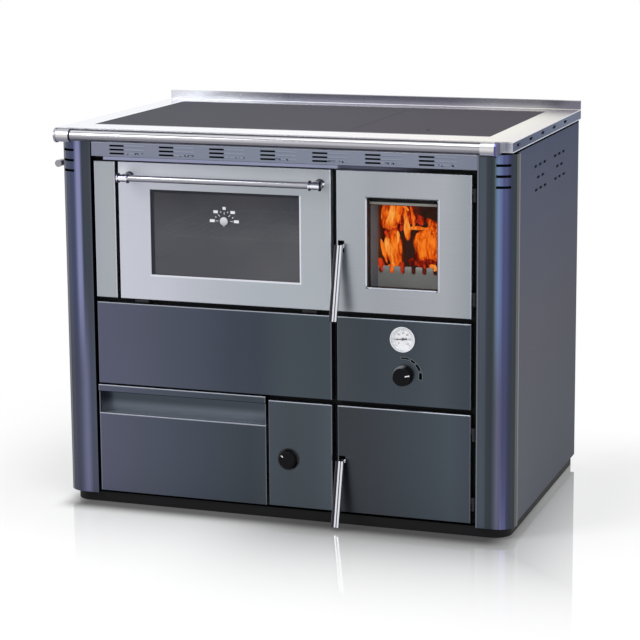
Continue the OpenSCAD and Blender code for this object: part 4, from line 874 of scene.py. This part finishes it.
class STOVE_OT_ironwork(bpy.types.Operator):
    """Finishes the cooking plates, firebox, oven, plinth and everything behind the fronts"""

    bl_idname = "stove.ironwork"
    bl_label = "Ironwork"

    def execute(self, context):
        look = context.scene.stove_finish
        iron, black = tuple(look.iron), tuple(look.black)
        paint(self.plates(iron), "cooking_plate_left", "cooking_plate_right")
        paint(self.guard(), "log_guard")
        paint(cast("cast_grate", (0.1, 0.1, 0.105), 0.7, 180.0), "grate")
        paint(self.frame_black(black), "front_frame")
        behind = "plinth", "base_pan", "hob_supports", "drawer_runners", "ash_chamber", "ash_pan", "drawer_box"
        fittings = "hinge_pins", "door_strikes", "oven_door_hinges", "fire_door_fittings", "ash_door_fittings"
        for name, colour, rough, grain, nodes in (
            ("boiler_wall", (0.22, 0.245, 0.27), 0.8, 120.0, ("boiler_jacket", "flue_box")),
            ("matt_black", black, 0.6, 500.0, behind),
            ("door_lining", (0.03, 0.03, 0.033), 0.6, 500.0, ("oven_door_liner", "fire_door_liner", "ash_door_liner")),
            ("oven_enamel", (0.16, 0.165, 0.18), 0.4, 500.0, ("oven_box",)),
            ("flue_black", (0.02, 0.02, 0.022), 0.6, 500.0, ("flue_spigot",)),
            ("burnished_black", (0.016, 0.016, 0.019), 0.5, 500.0, fittings),
        ):
            paint(plain(name, colour, rough, grain=grain, specular_ior_level=0.15), *nodes)
        paint(brushed("rack_wire", (0.5, 0.5, 0.52), "X", 0.1, 0.3), "oven_rack")
        paint(plain("zinc", (0.45, 0.46, 0.48), 0.35, 0.9, 90.0), "draught_regulator", "air_flap")
        paint(plain("brass_stub", (0.55, 0.42, 0.2), 0.35, 1.0, 90.0), "water_stubs")
        return {"FINISHED"}

    def plates(self, iron):
        """Ground plates, a little browner in the middle, with long faint grinding marks."""
        finish = Finish("ground_plate", metallic=0.0, specular_ior_level=0.1)
        marks = finish.noise(1.0, (12, 260, 12), 2.0)
        pits = finish.noise(420.0, detail=4.0)
        middle = (iron[0] * 1.05, iron[1] * 0.98, iron[2] * 0.97)
        right = (iron[0] * 0.88, iron[1] * 0.78, iron[2] * 0.78)
        across = finish.ramp(finish.way(0, -0.5, 0.5), [(0.0, iron), (0.5, middle), (1.0, right)])
        tint = finish.dim(across, marks * 0.16 + 0.92)
        finish.feed("Base Color", finish.dim(tint, pits * 0.14 + 0.93))
        finish.grained(pits, 0.77, 0.1, 0.12, 0.0004)
        return finish

    def guard(self):
        """The comb's cast iron, lighter along the tips of its teeth."""
        finish = Finish("cast_guard", specular_ior_level=0.2)
        pits = finish.noise(220.0, detail=5.0, rough=0.65)
        tip = finish.axis(2).between(GUARD_HIGH.z - 0.012, GUARD_HIGH.z)
        colour = finish.mix(tip * 0.6, (0.44, 0.45, 0.43), (0.8, 0.79, 0.76))
        finish.feed("Base Color", finish.dim(colour, pits * 0.4 + 0.8))
        finish.grained(pits, 0.7, 0.2, 0.25, 0.0006)
        return finish

    def frame_black(self, black):
        """Matt black, with the bare lintel above the fire as a painted light strip behind the window, and a painted
        light strip for the lit fold under the fascia, above the oven door.
        """
        finish = Finish("black_frame", specular_ior_level=0.15)
        peel = finish.noise(500.0, detail=2.0)
        x, z = finish.axis(0), finish.axis(2)
        # Painted light: the lit lower part of the bare lintel, seen through the window
        strip = z.band(0.7035, 0.7045, 0.7085, 0.71) * x.band(0.19, 0.2, 0.385, 0.39)
        colour = finish.mix(strip, black, (0.46, 0.44, 0.4))
        # Painted light: where the fascia's lit folded lower edge shows above the oven door
        lit_fold = z.band(0.7772, 0.7782, 0.7875, 0.788) * x.band(-0.41, -0.34, 0.2, 0.34)
        colour = finish.mix(lit_fold, colour, (0.34, 0.35, 0.5))
        finish.feed("Base Color", finish.dim(colour, peel * 0.26 + 0.87))
        finish.grained(peel, 0.6, 0.1, 0.06, 0.0003)
        return finish


class STOVE_OT_glass_and_knobs(bpy.types.Operator):
    """Finishes the glass panes, knobs, escutcheon and needles"""

    bl_idname = "stove.glass_and_knobs"
    bl_label = "Glass and knobs"

    def execute(self, context):
        black = tuple(context.scene.stove_finish.black)
        paint(self.oven_glass(), "oven_door_glass")
        pane = plain("fire_glass", (0.02, 0.015, 0.012), 0.07, grain=30.0, alpha=0.06, specular_ior_level=0.1)
        paint(pane, "fire_door_glass")
        lens = plain("dial_glass", (0.9, 0.9, 0.92), 0.06, grain=30.0, alpha=0.05, specular_ior_level=0.2)
        paint(lens, "thermometer_lens")
        for node in ("thermostat_knob", "air_valve"):
            paint(self.knob(node), node)
        paint(plain("escutcheon_plastic", shade(black, 1.6), 0.5, specular_ior_level=0.3), "air_escutcheon")
        paint(plain("needle_black", (0.005, 0.005, 0.006), 0.6), "thermometer_needle")
        stops = (0, 150, 154, 160), (0.6, 205, 208, 214), (1, 226, 228, 232)
        dressed("gauge_cap", "oven_gauge", stops, 2, "X", 0.05, 0.3)
        return {"FINISHED"}

    def knob(self, node):
        """Black moulding with a thin line of light on its upper left front edge."""
        low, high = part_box(node)
        finish = plain(f"knob_{node}", (0.004, 0.004, 0.005), 0.5, specular_ior_level=0.08)
        x, z = finish.axis(0) - (low.x + high.x) / 2, finish.axis(2) - (low.z + high.z) / 2
        radius = (high.x - low.x) / 2
        away = x * x + z * z
        rim = away.between((radius * 0.86) ** 2, (radius * 0.9) ** 2)
        finish.layer(rim * (z - x).between(radius * 0.5, radius * 1.1), tone(120, 124, 128))
        return finish

    def oven_glass(self):
        """Smoked glass with a dark border printed at the left and the top, through which the oven shows faintly."""
        low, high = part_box("oven_door_glass")
        finish = Finish("oven_glass", roughness=0.12, specular_ior_level=0.3)
        x, z = finish.axis(0), finish.axis(2)
        haze = finish.noise(5.0, (1.0, 1.0, 1.6), 2.0).between(0.35, 0.7)
        border = 1 - (x - (low.x + 0.009)).between(0.0075, 0.009) * (high.z - 0.009 - z).between(0.0055, 0.007)
        lower = finish.mix(haze, tone(82, 83, 89), tone(94, 94, 98))
        upper = finish.mix(haze, tone(60, 63, 72), tone(74, 73, 78))
        colour = finish.mix(finish.way(2, low.z, high.z).between(0.45, 0.95), lower, upper)
        finish.feed("Base Color", finish.mix(border, colour, tone(22, 25, 36)))
        finish.feed("Alpha", border * 0.3 + 0.7)
        return finish


# Dials and printed scales


class STOVE_OT_dial(bpy.types.Operator):
    """Boiler thermometer: white face, tick marks and numbers from 0 to 120"""

    bl_idname = "stove.dial"
    bl_label = "Thermometer dial"

    def execute(self, context):
        radius = context.scene.stove_dials.dial_radius
        centre = centre_of("thermometer_case")
        well = FRONT - 0.002
        white = plain("dial_white", (0.8, 0.81, 0.84), 0.4, specular_ior_level=0.2)
        ink = plain("dial_ink", (0.1, 0.1, 0.11), 0.5, specular_ior_level=0.2)
        disc = np.concatenate([arc_band(centre, 0.0018, radius, a, a + 90, 13) for a in range(0, 360, 90)])
        place("dial_face", front_sheet("face", disc, well, 0.0002), white, "stove", "black_plastic")
        marks = []
        for i, a in enumerate(np.linspace(-135, 135, 25)):
            inner, wide = (0.72, 0.0008) if i % 4 == 0 else (0.78, 0.0005)
            tick = bar_flat(centre, a, radius * inner, radius * 0.9, wide)
            marks.append(front_sheet("tick", tick, well - 0.0002, 0.0001))
        printed("dial_ticks", marks, ink)
        digits = []
        for value in range(0, 121, 20):
            a = math.radians(-135 + 270 * value / 120)
            x, z = centre[0] + radius * 0.54 * math.sin(a), centre[1] + radius * 0.54 * math.cos(a)
            digits.append(lettering(str(value), 0.0056, x, well - 0.00035, z))
        printed("dial_numbers", digits, ink)
        return {"FINISHED"}


class STOVE_OT_scales(bpy.types.Operator):
    """Printed scales: the arc by the thermostat knob, the marks on the oven glass and the knobs' pointer lines"""

    bl_idname = "stove.scales"
    bl_label = "Printed scales"

    def execute(self, context):
        dials = context.scene.stove_dials
        ink = plain("scale_ink", (0.001, 0.001, 0.002), 0.6, specular_ior_level=0.0)
        pale = plain("scale_edge", (0.16, 0.18, 0.2), 0.5, specular_ior_level=0.2)
        white = plain("scale_white", (0.75, 0.76, 0.78), 0.45, specular_ior_level=0.2)
        self.thermostat_arc(dials.scale_radius, ink, pale)
        self.pointers(white)
        self.oven_marks(dials.oven_scale_radius, white)
        self.slot_backing()
        return {"FINISHED"}

    def thermostat_arc(self, radius, ink, pale):
        """Four dashes on one circle round the knob, each wider than the last, clockwise from 12 o'clock, with a
        thin pale edge."""
        centre = centre_of("thermostat_knob")
        dashes, edges, more = [], [], 0.0009
        pad = math.degrees(more / radius)
        for start, end, wide in ((-8, 19, 0.0034), (26, 42, 0.0042), (48, 71, 0.0052), (78, 100, 0.0068)):
            half = wide / 2
            band = arc_band(centre, radius - half, radius + half, start, end, 12)
            dashes.append(front_sheet("dash", band, FRONT - 0.0001, 0.0001))
            band = arc_band(centre, radius - half - more, radius + half + more, start - pad, end + pad, 12)
            edges.append(front_sheet("edge", band, FRONT, 0.0001))
        printed("thermostat_scale", dashes, ink)
        printed("thermostat_scale_edge", edges, pale)

    def pointers(self, white):
        """A white line on each knob."""
        for name, node, body, angle, near, far, wide in (
            ("thermostat_pointer", "thermostat_knob", "thermostat", 77, 0.009, 0.0195, 0.0024),
            ("air_valve_pointer", "air_valve", "air_valve", -50, 0.011, 0.0165, 0.0022),
        ):
            flat = bar_flat(centre_of(node), angle, near, far, wide)
            place(name, front_sheet("line", flat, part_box(node)[0].y, 0.0002), white, body, "black_plastic")

    def oven_marks(self, radius, white):
        """Five flat white blocks from 9 over 12 to 3 o'clock, a thin tick inside each and dots between them."""
        low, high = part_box("oven_gauge")
        centre = ((low.x + high.x) / 2, high.z - 0.009)
        flats = []
        for angle in (-90, -45, 0, 45, 90):
            a = math.radians(angle)
            block = (centre[0] + radius * math.sin(a), centre[1] + radius * math.cos(a))
            flats.append(box_flat(block, 0.0072 + 0.0042 * abs(math.sin(a)), 0.0062))
            flats.append(bar_flat(centre, angle, radius * 0.5, radius * 0.72, 0.001))
        flats += [bar_flat(centre, angle, radius * 0.72, radius * 0.8, 0.002) for angle in (-67, -22, 22, 67)]
        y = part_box("oven_door_glass")[0].y
        printed("oven_scale", [front_sheet("mark", flat, y, 0.0002) for flat in flats], white, "oven_door")

    def slot_backing(self):
        """A thin light sheet strip close behind the right half of each group of slots in the fascia: painted light for
        the light that falls in through the slots.
        """
        low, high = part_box("vent_fascia")
        middle = (low.z + high.z) / 2
        stops = (0, 146, 154, 172), (1, 140, 148, 166)
        finish, colour = graded("coated_backing", stops, 0, low.x, high.x)
        lower = 1 - (finish.axis(2) - middle).between(-0.0055, -0.005)
        speck = finish.noise(170.0, detail=0.0).between(0.56, 0.62) * lower
        finish.feed("Base Color", finish.mix(speck, colour, tone(20, 24, 38)))
        strips = []
        for i in range(SLOT_GROUPS):
            start = low.x + SLOT_INSET + SLOT_PITCH * i
            strip = box_flat((start + 0.019, middle), 0.053, 0.025)
            strips.append(front_sheet("strip", strip, FRONT + 0.0032, 0.001))
        place("slot_backing", joined("backing", strips), finish, "stove")
        # The fascia's folded lower edge, in a lighter tone that is painted light of the lit bend
        stops = (0, 148, 150, 178), (0.5, 146, 150, 176), (1, 130, 136, 150)
        lit_fold, colour = graded("coated_fold", stops, 0, low.x, high.x)
        lit_fold.feed("Base Color", colour)
        start, end = low.x + 0.029, 0.133
        strip = box_flat(((start + end) / 2, low.z - 0.0005), end - start, 0.0125)
        place("fascia_fold", front_sheet("lit_fold", strip, FRONT + 0.0022, 0.0009), lit_fold, "stove")


# Fire


def log_mesh(name, start, end, radius, seed):
    """A split log: a circle carried from start to end whose radius swells and cracks with sums of sines,
    closed at both ends by rings that shrink to the axis."""
    bark, around, along = 0.09, 40, 36
    rng = np.random.default_rng(seed)
    start, end = np.array(start), np.array(end)
    axis = (end - start) / np.linalg.norm(end - start)
    side = np.cross(axis, [0.0, 1.0, 0.05])
    side /= np.linalg.norm(side)
    other = np.cross(axis, side)
    t = np.concatenate([[0, 0, 0], np.linspace(0, 1, along), [1, 1, 1]])[None, :]
    cap = np.concatenate([[0, 0.5, 0.86], np.ones(along), [0.86, 0.5, 0]])[None, :]
    u = np.linspace(0, 2 * math.pi, around, endpoint=False)[:, None]
    swell = 1 + 0 * t * u
    for order in (2, 3, 5, 8, 13):
        a, b, c = rng.uniform(0, 6.28, 3)
        wave = np.sin(order * u + a) * (0.7 + 0.3 * np.sin(3 * t + b)) * np.cos(order * 1.3 * t + c)
        swell = swell + bark * 1.6 / order * wave
    bend = radius * 0.3 * np.sin(math.pi * t + rng.uniform(0, 6.28))
    r = radius * swell * cap * (1 - 0.12 * t)
    centre = start + t[..., None] * (end - start) + bend[..., None] * side
    ring = r[..., None] * (np.cos(u)[..., None] * side + np.sin(u)[..., None] * other)
    return grid_mesh(name, centre + ring, round_u=True)


def along_path(points, count):
    """Smooth path through a few points: each part is a cubic with the slope of its neighbours (Catmull-Rom)."""
    points = np.array(points, float)
    ends = np.concatenate([[2 * points[0] - points[1]], points, [2 * points[-1] - points[-2]]])
    t = np.linspace(0, len(points) - 1 - 1e-9, count)
    i, f = t.astype(int), (t % 1)[:, None]
    a, b, c, d = (ends[i + k] for k in range(4))
    return 0.5 * (2 * b + (c - a) * f + (2 * a - 5 * b + 4 * c - d) * f**2 + (3 * b - a - 3 * c + d) * f**3)


def flame_grid(path, depth, half, seed):
    """A flame: an ellipse carried along a path of x and z, as wide as half in its middle, narrow at its foot and
    pointed at its tip, with a wavy edge from sines. Its heat is 1 along the side that faces the door and 0 at
    its outline. Returns points[u, v] and heat[u, v]."""
    around, up = 16, 40
    rng = np.random.default_rng(seed)
    v = np.linspace(0, 1, up)
    line = along_path(path, up)
    slope = np.gradient(line, axis=0)
    slope /= np.linalg.norm(slope, axis=1)[:, None]
    across = np.stack([slope[:, 1], -slope[:, 0]], 1)
    body = np.clip(np.sin(math.pi * v**0.75), 0, 1) ** 0.55
    wave = 0.16 * np.sin(8 * v + rng.uniform(0, 6.28)) + 0.09 * np.sin(19 * v + rng.uniform(0, 6.28))
    wide = half * body * (1 + wave)
    u = np.linspace(0, 2 * math.pi, around, endpoint=False)[:, None]
    x = line[:, 0] + wide * np.cos(u) * across[:, 0]
    z = line[:, 1] + wide * np.cos(u) * across[:, 1]
    y = depth + 0.45 * wide * np.sin(u) + 0 * v
    heat = np.clip(-np.sin(u), 0, 1) ** 0.8 * np.sin(math.pi * np.clip(v, 0.02, 0.98)) ** 0.35
    return np.stack([x, y, z], -1), heat


def ember_finish(name, dark, mid, hot, crust, strength, scale=34.0):
    """Burning wood: dark crust broken by glowing cracks."""
    finish = Finish(name, roughness=0.9, specular_ior_level=0.1, emission_strength=strength)
    crack = finish.noise(scale, (1, 1, 0.6), 5.0, 0.62)
    patch = finish.noise(14.0, (1, 1, 0.8), 2.0)
    heat = (crack * 0.6 + patch * 0.6).between(crust - 0.14, crust + 0.18)
    finish.feed("Base Color", finish.mix(heat, (0.02, 0.012, 0.01), (0.06, 0.02, 0.01)))
    finish.feed("Emission Color", finish.ramp(heat, [(0.0, dark), (0.45, mid), (1.0, hot)]))
    finish.relief(crack, 0.5, 0.004)
    return finish


def flame_finish(name, edge, body, core, strength):
    """Flame: soft and darker at its outline, brighter along its middle, with streaks that rise through it."""
    dark = {"base_color": (0.0, 0.0, 0.0), "roughness": 1.0, "specular_ior_level": 0.0}
    finish = Finish(name, emission_strength=strength, **dark)
    heat = finish.add("ShaderNodeAttribute", {"attribute_name": "warmth"}, output=2)
    streak = finish.noise(85.0, (1.7, 1.0, 0.4), 4.0, 0.66)
    lick = finish.noise(34.0, (1.3, 1.0, 0.65), 3.0)
    glow = heat * 0.3 + streak * 2.4 + lick * 1.7 - 1.87
    finish.feed("Emission Color", finish.ramp(glow, [(0.08, edge), (0.38, body), (0.74, core)]))
    finish.feed("Alpha", (heat + (streak - 0.5) * 1.3).between(0.02, 0.46))
    return finish


# Tongues of each heat in millimetres: depth behind the front, half width, then x and z along the path.
FLAMES = {
    "red": (
        (165, 17, 238, 640, 240, 668, 236, 704),
        (160, 10, 270, 640, 269, 652, 264, 664),
        (172, 30, 206, 622, 208, 664, 212, 720),
        (170, 22, 200, 634, 204, 596, 212, 540),
        (150, 18, 258, 580, 285, 572, 335, 566),
        (105, 8, 256, 573, 266, 569, 280, 566),
        (110, 9, 187, 572, 196, 558, 206, 540),
        (108, 7, 241, 568, 242, 556, 242, 538),
        (109, 7, 270, 566, 292, 562, 306, 548),
        (150, 14, 196, 650, 210, 636, 240, 636),
    ),
    "orange": (
        (150, 20, 203, 628, 205, 664, 207, 712),
        (135, 11, 196, 634, 198, 662, 200, 706),
        (130, 8, 221, 640, 226, 668, 232, 686, 246, 690),
        (128, 5, 226, 692, 240, 687, 252, 676),
        (145, 17, 208, 630, 214, 596, 224, 545),
        (120, 7, 216, 634, 222, 612, 227, 592, 233, 572, 234, 548),
        (118, 5, 192, 614, 200, 584, 206, 560),
        (150, 24, 256, 602, 280, 604, 306, 606, 340, 606),
        (146, 17, 266, 586, 296, 580, 336, 578),
        (140, 10, 289, 660, 302, 645, 313, 625, 318, 596),
        (132, 10, 272, 620, 288, 628, 304, 640, 322, 634),
        (122, 4, 264, 640, 265, 655, 262, 670, 256, 692),
        (112, 7, 216, 562, 217, 552, 218, 538),
    ),
    "gold": (
        (125, 9, 208, 632, 211, 656, 217, 678, 218, 700),
        (118, 7.2, 253, 612, 252, 632, 249, 658, 246, 682),
        (116, 4.2, 248, 638, 267, 641.5, 284, 641.5, 303, 640),
        (112, 9, 206, 622, 211, 600, 217, 580, 226, 546),
        (108, 4.8, 231, 636, 233, 620, 230, 603),
        (110, 7, 303, 563, 314, 557, 332, 552),
    ),
}


class STOVE_OT_fire(bpy.types.Operator):
    """Logs, embers and flames behind the log guard"""

    bl_idname = "stove.fire"
    bl_label = "Fire"

    def execute(self, context):
        fire = context.scene.stove_fire
        left, right = GUARD_LOW.x + 0.01, GUARD_HIGH.x - 0.01
        front, base = GUARD_HIGH.y + 0.004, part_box("grate")[1].z
        r = fire.log_radius
        logs = (
            ("log_left", (left + 0.01, front + 0.10, 0.49), (left + 0.035, front + 0.17, 0.70), r * 0.9, 0.7),
            ("log_middle", (0.250, front + 0.055, 0.50), (0.238, front + 0.075, 0.628), r * 0.42, 0.86),
            ("log_right", (right - 0.005, front + 0.10, 0.60), (0.272, front + 0.085, 0.600), r * 0.95, 0.55),
            ("log_low", (left + 0.02, front + 0.07, 0.515), (right - 0.02, front + 0.09, 0.52), r * 1.0, 0.75),
            ("log_back", (left + 0.02, front + 0.22, 0.60), (right - 0.03, front + 0.20, 0.66), r * 1.3, 0.82),
        )
        dark, brown = tone(42, 24, 18), tone(120, 30, 12)
        for i, (name, start, end, radius, crust) in enumerate(logs):
            finish = ember_finish(f"wood_{name}", dark, brown, tone(226, 84, 22), crust, fire.glow)
            place(name, log_mesh(name, start, end, radius, fire.seed + i), finish, "stove")
        char = ember_finish("wood_embers", dark, brown, tone(230, 90, 20), 0.66, fire.glow)
        place("ember_bed", self.bed(left, right, front, base, fire.seed), char, "stove")
        # Painted light: the smoke at the back glows a dim red, as lit by the fire
        grey = tone(40, 24, 20), tone(52, 28, 20), tone(100, 26, 14)
        smoke = ember_finish("smoke_dark", *grey, 0.74, fire.glow, 20.0)
        place("smoke_haze", self.haze(left, right, front), smoke, "stove")
        self.flames(fire)
        return {"FINISHED"}

    def bed(self, left, right, front, base, seed):
        """Heap of embers: a dome over the grate with lumps from a sum of sines."""
        rng = np.random.default_rng(seed)
        u, v = np.meshgrid(np.linspace(0, 1, 60), np.linspace(0, 1, 60), indexing="ij")
        edge = (np.sin(math.pi * u) * np.sin(math.pi * v)) ** 0.35
        high = 0.11 * edge
        for _ in range(9):
            a, b, c = rng.uniform(8, 34, 2).tolist() + [rng.uniform(0, 6.28)]
            high = high + 0.006 * np.sin(a * u + b * v + c) * edge
        x = left + 0.006 + u * (right - left - 0.012)
        y = front + 0.006 + v * 0.36
        top = np.stack([x, y, base + 0.002 + high], -1)
        return slab("bed", top, np.stack([x, y, np.full_like(x, base + 0.001)], -1), smooth=True)

    def haze(self, left, right, front):
        """Thick smoke at the back of the fire: a sheet 8 mm thick, bowed backwards in its middle."""
        u, v = np.meshgrid(np.linspace(0, 1, 24), np.linspace(0, 1, 20), indexing="ij")
        x = left + 0.004 + u * (right - left - 0.008)
        y = front + 0.25 + 0.05 * np.sin(math.pi * u) + 0.008 * np.sin(9 * v + 5 * u)
        z = 0.42 + v * 0.34
        ahead, behind = np.stack([x, y, z], -1), np.stack([x, y + 0.008, z], -1)
        return slab("haze", ahead, behind, smooth=True)

    def flames(self, fire):
        """Tongues of three heats, each a path of x and z at its own depth behind the guard."""
        heats = {
            "red": (tone(70, 14, 8), tone(146, 30, 14), tone(212, 62, 24)),
            "orange": (tone(150, 34, 8), tone(234, 92, 16), tone(255, 134, 34)),
            "gold": (tone(214, 76, 14), tone(250, 134, 38), tone(255, 176, 80)),
        }
        for name, tongues in FLAMES.items():
            finish = flame_finish(f"flame_{name}", *heats[name], strength=fire.glow)
            grids = []
            for i, (depth, half, *path) in enumerate(tongues):
                path, half = np.reshape(path, (-1, 2)) / 1000, half / 1000 * fire.flame_width
                grids.append(flame_grid(path, FRONT + depth / 1000, half, fire.seed + 17 * i + len(name)))
            points, heat = (np.stack([g[k] for g in grids]) for k in (0, 1))
            place(f"flames_{name}", grid_mesh("flames", points, round_u=True, heat=heat), finish, "stove")


# Panel


OPERATORS = (
    STOVE_OT_studio,
    STOVE_OT_sheet_metal,
    STOVE_OT_ironwork,
    STOVE_OT_glass_and_knobs,
    STOVE_OT_dial,
    STOVE_OT_scales,
    STOVE_OT_fire,
)
GROUPS = {"stove_finish": StoveFinish, "stove_dials": StoveDials, "stove_fire": StoveFire, "stove_studio": StoveStudio}


class STOVE_PT_panel(bpy.types.Panel):
    """Lists the cooker's operators and values"""

    bl_idname = "STOVE_PT_panel"
    bl_label = "Wood cooker"
    bl_space_type = "VIEW_3D"
    bl_region_type = "UI"
    bl_category = "Cooker"

    def draw(self, context):
        for operator in OPERATORS:
            self.layout.operator(operator.bl_idname)
        for group, kind in GROUPS.items():
            box = self.layout.box()
            for name in kind.__annotations__:
                box.prop(getattr(context.scene, group), name)


def register():
    for kind in (*GROUPS.values(), *OPERATORS, STOVE_PT_panel):
        bpy.utils.register_class(kind)
    for name, kind in GROUPS.items():
        setattr(bpy.types.Scene, name, PointerProperty(type=kind))


def unregister():
    for name in GROUPS:
        delattr(bpy.types.Scene, name)
    for kind in reversed((*GROUPS.values(), *OPERATORS, STOVE_PT_panel)):
        bpy.utils.unregister_class(kind)


def main():
    register()
    bpy.ops.stove.studio()
    bpy.ops.stove.sheet_metal()
    bpy.ops.stove.ironwork()
    bpy.ops.stove.glass_and_knobs()
    bpy.ops.stove.dial()
    bpy.ops.stove.scales()
    bpy.ops.stove.fire()


if __name__ == "__main__":
    main()
